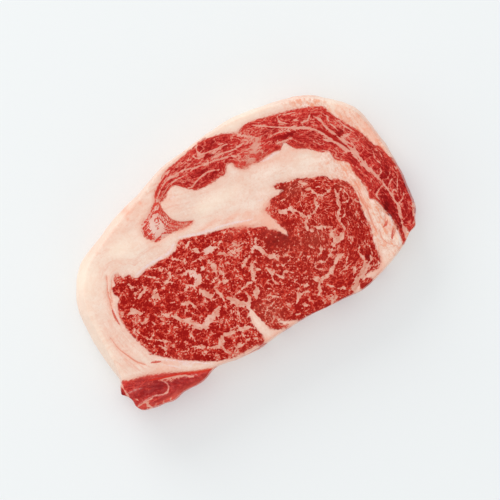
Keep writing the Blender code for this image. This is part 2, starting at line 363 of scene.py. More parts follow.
# %% Low seam of the eye, up to the main wedge of fat
LOW_SEAMS = [
    [(-51, -37.8, 0.9), (-48.4, -39.4, 1.8), (-46.4, -40.6, 2.8), (-44, -42.6, 1.8), (-41, -44.4, 1.8),
     (-38.4, -45.4, 2.2), (-36, -44, 3.4), (-34.4, -41.8, 2.9), (-32, -41.8, 2), (-28, -43, 1.5),
     (-24, -43.2, 1.7), (-21, -44, 2.4), (-18.6, -44.6, 1.6), (-16.6, -46.6, 1)],
    [(-48.2, -41.6, 1), (-48, -45, 0.9)], [(-37, -46.6, 2), (-36.8, -49.4, 1.2)],
    [(-30.4, -51, 0.9), (-32.6, -52.4, 0.9), (-34.6, -53.6, 0.7)],
    [(-28.8, -50.6, 1.4), (-28, -50.4, 1.4)], [(-27.2, -40.6, 1.2), (-26.6, -40.6, 1.2)],
    [(-23.6, -18.6, 1.2), (-22.8, -21.6, 2), (-22.8, -24.6, 1.2)],
    [(-20, -25.4, 1.8), (-18.6, -27.6, 3.2), (-17.2, -30.2, 3.8), (-15.2, -32, 3.6), (-13.2, -34.6, 2.6),
     (-13.1, -37, 1.4), (-13.7, -41.6, 3.6), (-13, -46, 4.4), (-12.2, -50, 4.4), (-10.6, -54.6, 5)],
    [(-12.9, -35.2, 1.2), (-11.2, -33.4, 1.8), (-10, -30.6, 2.2), (-10.2, -28.6, 1.4)],
    [(-30, -51.6, 0.8), (-26, -51.4, 1), (-22, -50.6, 1.2), (-19.4, -51.2, 1.2), (-17, -53.6, 0.9),
     (-15.4, -54.8, 0.7)],
    [(-17, -25.6, 0.8), (-11, -25, 1), (-7.6, -24, 1.6), (-4, -23.6, 2.4), (-1.8, -21.6, 2.6),
     (-1, -19.2, 2.8), (0.4, -16.8, 2.4), (2.8, -15.2, 1)],
    [(-10.2, -17, 1.2), (-9.2, -18.6, 1.4)], [(-3.4, -29.4, 2), (-5, -30.8, 3.2), (-6.2, -32.6, 1.6)],
    [(-2.5, -50.4, 1), (-2.9, -48.9, 1), (-1.5, -47.5, 0.7)],
]
print(len(LOW_SEAMS), "strokes")

# %% Seams in the middle of the eye
MIDDLE_SEAMS = [
    [(9.6, -5, 1.4), (8.2, -7, 2.4), (7.2, -8.6, 3), (8.8, -11, 2.5), (9.4, -14, 2), (10.8, -17, 1.8),
     (13.2, -19.2, 2.2)],
    [(6, -8.2, 2), (3.6, -10.6, 1.7), (0, -12, 1.8), (-2.8, -13.2, 2.8), (-4.4, -14.4, 1.6)],
    [(13.2, -18.4, 1.6), (15, -17.2, 0.8), (18.2, -17.6, 0.6)], [(13.4, -19.6, 1.6), (14, -21.2, 0.8)],
    [(16.2, -20, 0.8), (17.6, -21.2, 0.8)], [(19.6, -21, 0.7), (22.2, -25, 0.7)],
    [(12.8, -23.8, 0.9), (15, -25.4, 1)],
    [(7, -22.6, 1.4), (8, -24.4, 2.2), (7, -27.2, 1.2), (6.2, -30, 1.2), (7.2, -32.2, 1.2)],
    [(8.6, -25.4, 1.2), (9.8, -28.6, 1), (11.4, -31.2, 1.6), (12.2, -32.2, 1.2)],
    [(13.4, -29, 1.4), (15.2, -29.4, 1.2), (17.2, -31, 0.8)], [(1.4, -19.6, 1.4), (2.2, -20.2, 1.4)],
    [(1.6, -32.4, 1.2), (2.4, -33, 1)], [(-0.2, -35.2, 0.9), (1.8, -37.4, 1.2), (4.4, -39, 0.9)],
    [(-4, -35.6, 0.7), (-2.2, -36.8, 0.7), (-1.4, -38.4, 0.7)], [(16, -36.2, 1.4), (16.8, -37.6, 1.4)],
    [(17.6, -34.6, 1), (18.4, -34.4, 1)], [(19.4, -40.4, 1.8), (20.8, -41.6, 2)],
    [(10.4, -47, 0.9), (12.8, -45.6, 1.3), (15, -44.2, 1.3), (18, -44.2, 1), (20, -45.2, 1.1)],
    [(13.6, -43.6, 0.8), (15.6, -40.6, 0.8)], [(14, -50, 1.2), (15.6, -51.4, 1.4)],
    [(7.8, -52.4, 1.2), (8.6, -52.8, 1.2)], [(21.4, -37.6, 0.7), (24.2, -39.4, 0.8)],
    [(25.8, -40.4, 1.2), (27.2, -42.2, 1.6), (28.4, -43.6, 1.6)], [(32.4, -22.4, 1), (34, -25.6, 1.2)],
    [(27.4, -26.4, 0.9), (29.8, -28.4, 0.9)], [(29.4, -35.4, 1.3), (31.6, -38, 1.2)],
    [(30.6, -33.6, 0.8), (33.8, -34.2, 1.2), (36, -36, 0.8)],
    [(-8.6, -2.2, 0.5), (-4, -1.4, 0.6), (-1, -1.7, 0.4)],
    [(-8.6, -3.7, 0.5), (-3, -3.1, 0.6), (2.6, -3.2, 0.4)],
    [(-9.2, -5.2, 0.6), (-4, -4.6, 0.7), (1.2, -4.6, 0.4)],
    [(-8.2, -6.6, 0.5), (-4, -6.1, 0.7), (-0.6, -6, 0.5)], [(-7.2, -7.9, 0.5), (-3, -7.6, 0.6)],
    [(-24.6, -30.6, 0.5), (-24.2, -36.4, 0.6)], [(-22.8, -31.6, 0.6), (-22.6, -37.6, 0.6)],
    [(-21.2, -31.8, 0.5), (-20.8, -37, 0.7)], [(-19.4, -33.4, 0.6), (-19, -38.6, 0.6)],
]
print(len(MIDDLE_SEAMS), "strokes")

# %% Seams at the round end of the eye
ROUND_END_SEAMS = [
    [(28.8, 1.6, 1.4), (30.4, -0.2, 2.2), (34.4, -0.6, 2.8), (36.6, -3, 2.2), (38, -5.6, 2),
     (39.3, -8.2, 1.6), (42.5, -9.4, 1)],
    [(42.4, -9.4, 1.1), (39, -11.2, 1.5), (37, -13, 1.8), (37.2, -15.6, 1.1), (38.6, -17.2, 1.3)],
    [(41, -16, 0.9), (43.2, -18, 2), (46.5, -19.6, 1.3), (49, -21, 1.1)],
    [(42.4, -9.4, 0.9), (45.8, -9, 1.2), (48, -6.8, 2), (48.6, -4, 1.1), (49.6, -1.6, 0.7)],
    [(40.4, -5.4, 0.7), (40.6, -1.8, 0.7)], [(33.2, 5.6, 1.2), (34, 5.4, 1.2)],
    [(43.8, 0.8, 1), (44.8, 1.8, 1.2)], [(47.2, 9.4, 1.6), (48.8, 7.6, 2)],
    [(42.2, 12.8, 0.9), (45, 12, 0.8)],
    [(47.8, 4, 1), (50, 2.6, 1.6), (51, -0.4, 0.9), (53, -3, 1.1), (56.8, -3.8, 1.5), (59, -2.6, 1)],
    [(53.6, 2.2, 1), (54.6, 1.8, 1)],
    [(61.2, -4.4, 1), (60, -8, 1.3), (59.6, -10.6, 2.2), (58.4, -13.6, 1.4), (57, -15.6, 1.6),
     (55, -17.2, 2.4), (55, -19.6, 1.6), (54.4, -22.6, 1.3), (54.6, -25, 1.2), (52, -27.4, 1.8),
     (50, -28.6, 2.8), (46.4, -28.8, 3), (44, -30.6, 1.6), (41, -33, 1.3), (38.4, -34.6, 1.1),
     (35.2, -36, 1)],
    [(49.2, -21.2, 1), (47.6, -22.6, 1.6), (46.8, -25.4, 1.4), (46.6, -28, 1.8)],
    [(61.4, -12.4, 0.7), (63.6, -13.2, 1.4), (65.8, -11.6, 0.9), (65.6, -8.6, 0.5), (65, -6.2, 0.4)],
    [(61.2, -8.6, 0.6), (62.4, -6.4, 0.7), (64.4, -5.6, 0.7)], [(68.2, -15.2, 1.2), (68.6, -16.4, 1.2)],
    [(57, -19.4, 0.6), (59, -18.6, 0.7), (60, -16, 0.6)], [(63.6, -22.4, 0.9), (63.2, -24.2, 0.9)],
    [(38.6, -26.8, 1.1), (38, -28.6, 2.4), (36, -30, 1.1)],
    [(46.6, -37, 0.6), (44.8, -37, 1.6), (42.6, -36.9, 3), (41, -38.2, 2.2), (39.4, -39.8, 2),
     (37, -41.4, 2.2), (33.6, -42.4, 2.6), (29.6, -43.2, 2), (27.4, -44.2, 1.5), (26, -46, 2),
     (25, -48.4, 1.6), (22.4, -50, 1)],
    [(42.8, -44.6, 1.2), (47, -43.6, 1)], [(46.4, -41.6, 0.8), (47.6, -40, 0.8)],
    [(46.2, -49.4, 1), (47.4, -47.9, 2.4), (48.4, -46.8, 0.9)], [(39.2, -45.4, 1.1), (40.2, -45, 1.1)],
    [(56.8, -38.4, 0.9), (54.6, -40.4, 1.4), (54.8, -43.4, 1.3), (55, -46, 1.4), (53.4, -48.6, 1.9),
     (51, -50.2, 1.8)],
    [(60.3, -46.8, 0.8), (60.9, -49.4, 0.9), (61.4, -52, 0.7)], [(57, -50.4, 0.5), (57.4, -53, 0.6)],
    [(58.9, -50, 0.5), (59.1, -52.8, 0.6)],
    [(29.4, -57.8, 0.5), (30.4, -55.9, 0.6), (32.4, -55.6, 0.6), (33.7, -57.4, 0.5)],
    [(61.6, -40.6, 1.1), (61.2, -43.4, 1.1), (59.6, -46.4, 1.5), (56.6, -48.6, 1.7), (53, -50.7, 2.6),
     (49, -52.2, 3.4), (45.4, -53.8, 3.6), (43, -56.6, 4)],
    [(53.2, -31, 0.7), (53.4, -34, 0.7)], [(55.6, -30.4, 0.6), (55.2, -34.2, 0.7)],
    [(34.8, -52.2, 1.1), (37, -53, 2)], [(31.2, -47.8, 0.9), (33.2, -50, 0.9)],
    [(26.8, -52.4, 1.1), (29.8, -53, 0.9)], [(29, -54.4, 1.6), (27.6, -57.6, 3)],
    [(31.4, -55.4, 1.2), (33.4, -57, 0.9)],
]
print(len(ROUND_END_SEAMS), "strokes")

# %% Seams of the cap, the long one and its branches first
CAP_SEAMS = [
    [(41, 49.3, 0.9), (45, 46.3, 0.9), (49.5, 43.2, 1), (54, 40, 1), (58, 37.5, 1.9), (62, 34.8, 2),
     (66, 32.6, 1.2), (69.4, 29, 1.2), (71.4, 25.4, 1.2), (73.4, 20.8, 1.5), (75.8, 16.2, 1.9),
     (78.4, 12, 2.8), (80.8, 7.8, 3.4), (81.8, 3, 2.8), (82.6, -2, 2.9), (83.8, -6, 2), (85, -10.4, 1.4),
     (85.6, -14, 1), (86.2, -18, 1.1), (86.5, -22.4, 1.1), (86.5, -27, 1.4), (86.8, -29.6, 1.8),
     (85.4, -33.4, 1.5), (84, -37.6, 1.2), (82.9, -41.4, 1.3), (82.6, -46.4, 2.4)],
    [(70.4, 22.8, 0.9), (71.5, 21.5, 1.8), (72.8, 20.4, 1.4)],
    [(72, 36.4, 0.8), (74, 33, 1.1), (74.6, 28.4, 1.1), (76, 23.4, 1.3), (78, 19, 1.7), (80.4, 14.6, 2)],
    [(79.8, 18.8, 2), (83.6, 18.2, 1.4)], [(85, -10.2, 0.9), (87.6, -9.2, 1), (88.6, -7.2, 0.8)],
    [(84.4, -15.8, 1), (81.8, -16.8, 1.2), (79.6, -18.2, 1.2), (79.2, -21, 0.8)],
    [(86.4, -12.6, 0.5), (89, -13.8, 0.6), (91.6, -12.2, 0.5), (93.4, -9.6, 0.4)],
    [(88, -17.2, 0.5), (90.4, -15.6, 0.6), (93, -15.2, 0.4)],
    [(86.6, -22.6, 0.5), (88.4, -21, 0.5), (90.6, -21.6, 0.4)],
    [(90, 3, 0.4), (89, -1.4, 0.6), (90.4, -5, 0.5)],
    [(86.8, -29.2, 1.3), (90.6, -27.6, 1), (92.8, -25.2, 0.7)],
    [(91, -22, 0.6), (92.2, -19.4, 0.7), (93.6, -17, 0.5)], [(89.8, -21, 0.5), (89.2, -26, 0.7)],
    [(82.6, 28, 0.9), (83.4, 24.6, 0.8), (84.6, 21.4, 0.8), (86.6, 18, 0.6)],
    [(78.4, 33, 0.7), (77.6, 29.4, 0.8), (79, 25.2, 0.7)],
    [(91.6, 3.4, 0.6), (92.8, 1, 0.9), (92.6, -3, 0.6)],
    [(95.6, -29.4, 1.4), (94.8, -32.4, 1.6), (92.4, -35.8, 1.2), (91, -39, 1.1)],
    [(54.6, 46.6, 0.8), (54.2, 44, 1), (56.6, 41.4, 0.9)],
    [(56.6, 46.6, 0.6), (60.4, 45, 0.6), (63.6, 44, 0.6)], [(61.8, 40.2, 1.1), (62.8, 39.6, 1.1)],
    [(64.6, 36.8, 0.8), (68, 36.6, 0.9), (70.6, 38.4, 0.8)],
    [(48, 39.4, 0.7), (52.4, 38.4, 1), (56, 36.6, 0.8)],
    [(47.6, 34, 0.9), (51.6, 33.2, 1.1), (55, 32.4, 0.9)], [(12.6, 47.8, 0.6), (20, 48, 0.6)],
    [(12, 45.4, 0.9), (17, 45.2, 1.1), (24, 43.6, 1), (31, 43.8, 0.7)],
    [(8, 55.6, 0.6), (6.8, 54, 0.9), (7.2, 51.6, 1), (9, 50.3, 0.9), (14, 49.3, 0.8), (23, 48.1, 0.7)],
    [(3.6, 51.6, 0.8), (4.6, 49.8, 0.9), (8, 49, 0.8)],
    [(-12.8, 48, 0.7), (-7.4, 48.3, 0.9), (-3, 47.4, 0.9), (1, 46, 1), (6, 44.9, 1.1), (12.2, 43.8, 1),
     (20.6, 41.6, 1.2), (23.4, 39.8, 1)],
    [(-9.6, 38.8, 0.6), (-5.6, 37.8, 0.8), (-2.4, 39, 0.9), (1, 39.8, 0.9), (6.7, 40.2, 0.9),
     (12, 38.2, 0.9)],
    [(-26.6, 40.6, 0.8), (-23.4, 43.8, 1), (-19.4, 46.4, 1), (-14, 48.2, 1.2), (-9.4, 47, 0.8)],
    [(-24.4, 39.6, 0.8), (-20.6, 42.2, 0.8), (-16.4, 45, 0.8), (-11, 45.6, 0.7), (-5, 45.2, 0.6)],
    [(-19.6, 49, 0.7), (-15.6, 51, 0.9), (-12, 51.6, 0.6)], [(-32, 28, 0.8), (-31, 27.2, 1.2)],
    [(30.6, 51.4, 1.4), (31.6, 48.6, 2), (34.4, 46.4, 1.2)],
]
print(len(CAP_SEAMS), "strokes")

# %% Seams of the lip
LIP_SEAMS = [
    [(-95, -34.8, 0.8), (-95.6, -39, 1), (-95.4, -43.8, 0.9), (-95, -48, 0.7), (-94.6, -51.6, 0.8)],
    [(-73.4, -44.8, 0.5), (-72.6, -48.2, 0.4)], [(-69.8, -45.8, 0.6), (-69, -48.6, 0.4)],
    [(-67.2, -47.2, 0.6), (-66.8, -49.6, 0.4)], [(-90, -54.4, 0.8), (-91.4, -56.2, 0.9)],
    [(-84.4, -54.8, 0.6), (-86.4, -57, 0.8)], [(-80, -55.6, 0.6), (-82.2, -57.6, 0.8)],
    [(-75.6, -56, 0.6), (-78, -58.4, 0.8)], [(-71.4, -56.4, 0.5), (-73.6, -58.6, 0.7)],
    [(-95, -51, 0.6), (-90, -50.8, 0.8), (-85, -50.9, 0.9), (-83, -50.4, 0.8), (-80, -51.6, 0.9),
     (-77, -52.5, 0.9), (-74.2, -51.2, 0.9), (-73.4, -48.6, 0.8), (-74.4, -46.2, 0.7),
     (-76.4, -44.7, 0.6)],
    [(-75, -44.9, 0.8), (-71, -45.5, 1.6), (-67, -47.2, 1.7), (-63, -49.6, 1.6), (-59.5, -52.2, 1)],
    [(-72, -46, 0.8), (-70.6, -48.6, 0.5)], [(-88.2, -51.6, 1.2), (-88.8, -53.8, 1.6), (-86.6, -56, 1)],
    [(-92.8, -46.6, 0.9), (-92.2, -47.4, 0.9)],
]
FAT_SEAMS = (ISLANDS + WIDE_END_SEAMS + LOW_SEAMS + MIDDLE_SEAMS + ROUND_END_SEAMS + CAP_SEAMS
             + LIP_SEAMS)
print(len(FAT_SEAMS), "seams of fat with", sum(map(len, FAT_SEAMS)), "points")

# %% [markdown]
# ## Lean streaks, red strands, silverskin and some painted light
# The middle and the foot of the cap are so fatty that lean shows there only as streaks, so
# there the lean is drawn and not the fat. Thin red strands run through the fat, and
# silverskin, a pale tough skin, lies along the edges of the muscles. Some strokes paint light
# and shade instead: the creases between lobes of fat at the right-hand end are drawn darker
# as painted shade, and a few pale strokes are painted glints, a sheen and highlights. All
# are strokes again.

# %% Lean streaks
RED_STREAKS = [
    # fatty middle of the cap
    [(21.4, 36.8, 0.8), (23.6, 35.8, 1.4), (26, 35.2, 1)],
    [(21.8, 34.6, 0.6), (24.4, 33.4, 1.2), (26.4, 32.8, 1)],
    [(26.8, 39.2, 1), (30.4, 37, 1.5), (33.4, 33.8, 2), (37, 32.2, 1.6), (41, 31.9, 1.1)],
    [(38.4, 37.6, 0.9), (41, 35.8, 1.4), (43.6, 33.4, 2), (46.8, 31.8, 1.8)],
    [(40.2, 39, 1), (44, 38.3, 1.6), (49, 36.6, 1.8), (54, 35.4, 1.8), (58.4, 34.8, 1.2)],
    [(29, 42.4, 0.6), (34.8, 41.2, 1)], [(37.2, 45.6, 1), (38.2, 44.8, 1)],
    # foot of the cap
    [(-41.6, 29, 1), (-40.2, 29.6, 1.2), (-38.6, 30, 0.9)], [(-42, 27.6, 1), (-40.2, 27.8, 0.8)],
    [(-41.2, 25.8, 1), (-39.6, 26, 1.3), (-38.2, 26.6, 0.9)], [(-40, 24.4, 0.7), (-38.8, 24.4, 0.7)],
    [(-40.8, 30.6, 0.6), (-39.4, 31.2, 0.7)], [(-37.8, 31.4, 0.7), (-37, 31.8, 0.6)],
    [(-38.6, 28.4, 0.7), (-37.6, 28.8, 0.6)], [(-37.4, 26, 0.6), (-36.6, 26.2, 0.6)],
    [(-36.6, 21.8, 0.6), (-35, 22, 0.6)], [(-33.9, 29.6, 0.5), (-33.4, 29.4, 0.5)],
    [(-40.4, 32, 0.8), (-38.6, 32.6, 1), (-36.4, 33.6, 0.9)], [(-39.6, 30.8, 0.5), (-38.8, 31, 0.5)],
    [(-38.4, 34.4, 0.7), (-37.4, 34.8, 0.8)], [(-38.2, 22.2, 1.1), (-36.6, 22.8, 1), (-34.6, 23.2, 0.7)],
    [(-33.2, 32, 0.7), (-32.2, 33.1, 0.7), (-31, 32.2, 0.7), (-31.6, 30.8, 0.7), (-32.9, 31, 0.7)],
    [(-34, 27.6, 0.8), (-33.4, 27.6, 0.7)], [(-32.2, 29.4, 0.6), (-31.6, 29.4, 0.6)],
    [(-36.4, 35.2, 0.8), (-35.2, 35.6, 0.8)], [(-34.2, 36.4, 0.8), (-33.2, 36.8, 0.7)],
    [(-34.6, 34.6, 0.5), (-33, 35.4, 0.7)], [(-32.2, 37.4, 0.8), (-31, 38.4, 0.9)],
    [(-31.8, 36, 1.1), (-30.4, 36.2, 1.6), (-28.4, 36, 1.5), (-26.6, 36.8, 1.2), (-26.2, 38.8, 1.1),
     (-27.2, 40.2, 1.3), (-29, 39.8, 1.1), (-30, 39, 1)],
    [(-26.6, 35, 1.3), (-25.8, 31.8, 0.9), (-25.2, 29, 0.8), (-23.6, 26.2, 0.9), (-21, 24.2, 0.8),
     (-18, 22.6, 0.7), (-15.4, 21.4, 0.6)],
    [(-28.8, 34.8, 0.8), (-27.9, 32.4, 0.8), (-27.5, 29.6, 0.8), (-26.4, 26.8, 1), (-24.2, 24.6, 0.9),
     (-21.4, 22.6, 0.7), (-18.2, 20.8, 0.5)],
    [(-30.2, 33.4, 0.5), (-29.7, 30.2, 0.8), (-28.9, 26.8, 1.2), (-27, 24.4, 1.3), (-24.6, 22.6, 0.7),
     (-21, 20.9, 0.5)],
    [(-31.6, 27.4, 0.4), (-30.4, 25.2, 0.7), (-28.2, 23, 0.8), (-25, 21.4, 0.5)],
    [(-33.4, 24.2, 0.4), (-31, 23.2, 0.6), (-28.8, 21.8, 0.4)],
    # neck between the foot and the cap
    [(-26.2, 43, 0.8), (-23.8, 45.3, 1.1), (-19.8, 48.2, 1.2), (-15, 50.6, 1)],
    [(-25.4, 41.8, 0.7), (-22.2, 44, 1), (-18.6, 46.2, 1.3), (-14.2, 47, 1.3), (-9, 46.2, 1)],
    [(-24.2, 39.8, 0.8), (-20.6, 42.2, 0.8), (-16, 44.6, 0.8)],
    # slits in the fat
    [(77, -33.8, 0.6), (75.6, -35, 1.6), (74.2, -35.5, 1)],
    [(77.8, -39.2, 0.5), (76.4, -40.6, 0.8), (75.4, -42, 1), (74.4, -43.4, 1.2)],
    [(78.2, -40.4, 0.3), (76.8, -41.8, 0.6)],
    [(-74.6, -34, 0.8), (-72.6, -34.8, 1.2), (-70.8, -35.8, 0.7)],
    [(-73.2, -29.4, 0.6), (-72.8, -29.8, 0.6)],
    [(-78.2, 3, 0.5), (-78.9, 0, 1.1), (-79.2, -3, 1.2), (-79.2, -6.6, 0.5)],
    # lip
    [(-79, -42.4, 0.9), (-72, -44.6, 1.1), (-65, -46.6, 1), (-58, -50, 1.2), (-50, -53.4, 1.4)],
    [(-90, -46.8, 1.4), (-84, -47.4, 2), (-78, -47.8, 2)],
    [(-85.6, -53.4, 1), (-80, -54.2, 1.6), (-72, -55.2, 2), (-62, -55.2, 1.6)],
]
print(len(RED_STREAKS), "lean streaks")

# %% Strands and silverskin
# Red strands in the fat. The four between x = 69 and 78, from y = -6 down to -46, are creases between
# lobes of fat instead. They are sunk a little and drawn darker: painted shade.
STRANDS_AND_CREASE_SHADE = [
    [(-87.2, -11, 0.2), (-86.4, -18, 0.4), (-84.2, -23.6, 0.7), (-81.8, -29, 0.8), (-78.8, -32.6, 0.6)],
    [(-71.8, 19.4, 0.5), (-73.2, 16.4, 0.4), (-75.3, 12.6, 0.5), (-76.6, 8.6, 0.5), (-77.8, 4.2, 0.5)],
    [(-70.4, 16, 0.3), (-72.6, 12.8, 0.4), (-74.4, 10.8, 0.4), (-76, 6, 0.3)],
    [(71.6, -12, 0.5), (70.6, -17, 0.7), (70.9, -22, 0.7), (69.6, -30, 0.7), (69, -36, 0.5)],
    [(77.4, -31.2, 0.3), (75.8, -34, 0.5)], [(53.6, -57.8, 0.5), (57, -56.8, 0.7), (60.5, -56, 0.4)],
    [(70.6, -36.6, 0.3), (69.8, -41, 0.4), (71.4, -45.4, 0.3)],
    [(73, -6, 0.3), (72.6, -12, 0.4), (71.8, -18, 0.4), (72.4, -23, 0.3)],
    [(71, 29, 1.8), (73.8, 24, 1.8), (76, 19, 1.6), (78.4, 14, 1.2), (79.4, 10.8, 0.7)],
    [(-80, -42, 0.9), (-72, -44.9, 1.1), (-64, -47.6, 1.1), (-56, -51.2, 1.3), (-50, -53.4, 1.4),
     (-46.2, -54.4, 0.8)],
]
# Silverskin. Some strokes are painted light instead: glints near (23, 12), (-14, 49) and (-18, 38), a
# sheen near (-60, -51), the highlight of a fold from (-63, -40) to (-56, -46), and, in part, the
# highlights along the lobes of fat near (78, -35) and (77, -45).
SILVERSKIN_AND_PAINTED_GLINTS = [
    [(-72, -33.6, 0.4), (-66, -37.4, 0.6), (-60, -42.2, 0.8), (-53, -46.9, 0.8), (-46.6, -51.8, 0.5)],
    [(-95.2, -41.8, 0.7), (-91, -42.1, 0.9), (-87.2, -43, 0.5)],
    [(-63, -39.6, 0.4), (-60.4, -43.4, 0.7), (-57.6, -46.8, 0.8), (-56.2, -46.4, 0.5)],
    [(-70.4, -38.4, 0.3), (-66.4, -41, 0.5), (-62.6, -44.6, 0.4)],
    [(-63, -50.4, 0.5), (-60, -51.4, 1), (-57, -52.4, 0.6)],
    [(79.8, -31.4, 0.6), (79.6, -34, 1), (78.4, -36.8, 0.9), (76.8, -38.2, 0.5)],
    [(78.8, -41.2, 0.6), (78.6, -44, 1), (77.2, -47.6, 0.8), (75.2, -49, 0.5)],
    [(22.2, 12.1, 0.9), (23.8, 11.9, 0.7)], [(-77.4, 2, 0.3), (-77.9, -2, 0.5), (-78.2, -7.6, 0.3)],
    [(34.6, 30, 0.6), (38, 29.6, 1.2), (42, 30, 1.2), (45, 29.4, 0.6)],
    [(-15.2, 48.8, 0.7), (-12.8, 48.9, 0.7)], [(-18.4, 38.2, 0.7), (-17.2, 38.3, 0.7)],
    [(-58, 11.4, 0.8), (-52, 12.9, 1.4), (-45, 13.3, 1.4), (-39, 13, 1.4), (-34.5, 13.6, 1.2),
     (-30.5, 16, 0.8)],
    [(-26, 17.4, 1), (-20, 15.3, 1.5), (-14.6, 13.3, 1.3), (-8.4, 11.8, 1.3), (-2, 10.6, 1.2),
     (4, 8.8, 1.1), (9, 6.9, 1), (14, 5.4, 0.7)],
    [(-94.6, -50.3, 0.4), (-90.4, -50.2, 0.5), (-84, -50.2, 0.6), (-81.2, -51.4, 0.6),
     (-76.8, -52.7, 0.7), (-74, -50.8, 0.7), (-73.4, -48.4, 0.7), (-74.9, -45.2, 0.5)],
]
print(len(STRANDS_AND_CREASE_SHADE), "red strands,", len(SILVERSKIN_AND_PAINTED_GLINTS), "lines of silverskin")

# %% [markdown]
# ## The skin, from the upper face round the side to the lower face
# The band is a profile carried round the ring: a tight turn at the upper edge, a side that
# leans out over the slope of each column, and a wider turn at the foot. A block cut out of a
# solid and beveled would give one profile everywhere, but here the side leans differently
# from column to column.

# %% Sizes of the side
EDGE_RISE, FOOT_INSET = 1.3, 2.4
LEAN, WIDEST = 0.72, 0.42
EDGE_LEVELS, SIDE_LEVELS, FOOT_LEVELS = 5, 15, 9
thickness = (high[2] - low[2]) / MM


def band_levels(top):
    """For each level below the upper edge: share of the slope, inset and heights, in mm.
    The two turns are quarter ellipses. The upper one takes up 1 - LEAN of the slope, and the
    side below it leans by LEAN share^1.5 down to its widest place, at WIDEST of its height."""
    crest = top - EDGE_RISE
    bulge = WIDEST * crest
    for turn in np.linspace(np.pi / 2, 0, EDGE_LEVELS + 1)[1:]:
        yield LEAN + (1 - LEAN) * (1 - math.cos(turn)), 0.0, top - EDGE_RISE * (1 - math.sin(turn))
    for share in np.linspace(1, 0, SIDE_LEVELS + 1)[1:]:
        yield LEAN * share**1.5, 0.0, bulge + (crest - bulge) * share
    for turn in np.linspace(np.pi / 2, 0, FOOT_LEVELS + 1)[1:-1]:
        yield 0.0, FOOT_INSET * (1 - math.sin(turn)), bulge * (1 - math.cos(turn))


levels = list(band_levels(np.full(len(ring), thickness)))
LEVELS = len(levels)
print("the band has", LEVELS, "levels")


# %% Waves, soft steps and bell curves
def waves(places, wavelength, seed, terms=16):
    """Smooth noise near -1 to 1: the sum of plane waves of about one wavelength that run in
    random directions, divided by 1.6 times the square root of half their number."""
    random = np.random.default_rng(seed)
    heading = random.normal(size=(terms, places.shape[1]))
    heading *= 2 * np.pi / wavelength / np.linalg.norm(heading, axis=1, keepdims=True)
    heading *= random.uniform(0.7, 1.3, (terms, 1))
    start = random.uniform(0, 2 * np.pi, terms)
    return np.cos(places @ heading.T + start).sum(1) / math.sqrt(terms / 2) / 1.6


def wave_sum(places, table):
    """Sum of waves, each a (height in mm, wavelength in mm, seed)."""
    return sum(height * waves(places, wavelength, seed) for height, wavelength, seed in table)


def ease(value, start, stop):
    """Smoothstep: 3 t^2 - 2 t^3 of the value's place t between start and stop, from 0 to 1."""
    t = np.clip((value - start) / (stop - start), 0, 1)
    return t * t * (3 - 2 * t)


def bells(places, table):
    """Sum of bell curves (x, y, reach in x, reach in y, amount)."""
    x, y = places.T
    return sum(amount * np.exp(-(((x - cx) / rx) ** 2) - ((y - cy) / ry) ** 2)
               for cx, cy, rx, ry, amount in table)


# %% [markdown]
# ## Where each vertex lies in the tissue
# Muscle and fat run through the slice, so every vertex keeps a tissue place: where its column
# meets the upper face, moved a little with depth, and how deep it lies. All distances and
# patterns are read there, which finishes the side and the lower face like the upper one.

# %% Tissue places
DRIFT, DRIFT_LENGTH = 3.0, 70
band_depths = np.array([thickness - heights[0] for _, _, heights in levels])
plan = np.vstack([face_plan, np.tile(upper_edge, (LEVELS, 1)), face_plan])
band_depth = np.repeat(band_depths, len(ring))
depth = np.concatenate([np.zeros(count), band_depth, np.full(count, thickness)])
drift = DRIFT * np.stack([waves(plan, DRIFT_LENGTH, seed) for seed in (1, 2)], axis=1)
tissue = plan + drift * (depth / thickness)[:, None]
print(len(tissue), "vertices in", LEVELS, "levels of band and two faces")

# %% Distances of all vertices
STROKES = {"seam": FAT_SEAMS, "strand_and_crease_shade": STRANDS_AND_CREASE_SHADE, "silverskin_and_glint": SILVERSKIN_AND_PAINTED_GLINTS, "red_streak": RED_STREAKS}
muscle_depths = {name: depth_inside(tissue, points) for name, points in MUSCLES.items()}
lean_depth = np.max(list(muscle_depths.values()), axis=0)
fields = {name: stroke_field(tissue, strokes) for name, strokes in STROKES.items()}
print("lean covers", round(float((lean_depth[:count] > 0).mean()) * 100), "% of the face's vertices")

# %% [markdown]
# ## Relief of the cut
# A knife leaves the face nearly flat. Lean swells a little out of it, the muscles' edges and
# the seams sink, and the whole face has shallow waves. Soft fat bulges in lobes. Sculpting
# would do as well, but these heights follow the drawn edges exactly. The highest place stays
# just below the top of the frame's box.

# %% Sizes of the relief
SWELL, SWELL_REACH = 0.45, 6
CREASE, CREASE_REACH = 0.22, 0.9
SINK, SINK_REACH = 0.14, 0.5
FACE_WAVES = [(0.35, 55, 3), (0.10, 17, 4), (0.05, 6, 5)]
STRAND_SINK, STRAND_REACH = 0.5, 0.9
RIM_DROP, RIM_REACH = 0.5, 2.5
TOP_GAP = 0.05
FAT_LOBES = [
    (76.3, -24, 2.2, 5, 0.7), (71.5, -40, 4, 8, 0.6), (77, -46, 2.4, 4, 0.6), (78.6, -35.5, 1.5, 4, 0.6),
    (69.6, -24, 1.6, 5, 0.5), (72.6, -12, 2, 8, 0.4), (-16, 33, 8, 8, 0.8), (-4, 25, 14, 5, 0.5),
    (36, 22, 16, 5, 0.5), (66, 10, 5, 6, 0.5), (-50, 24, 14, 6, 0.5),
]
BROAD_SWELLS = [
    (-38, -20, 34, 30, 0.5), (36, -24, 32, 30, 0.6), (8, 25, 46, 9, -0.6), (62, 34, 26, 14, 0.3),
    (-84, 6, 12, 28, -1), (-80, -52, 20, 8, -2), (76, -44, 12, 12, -1),
]


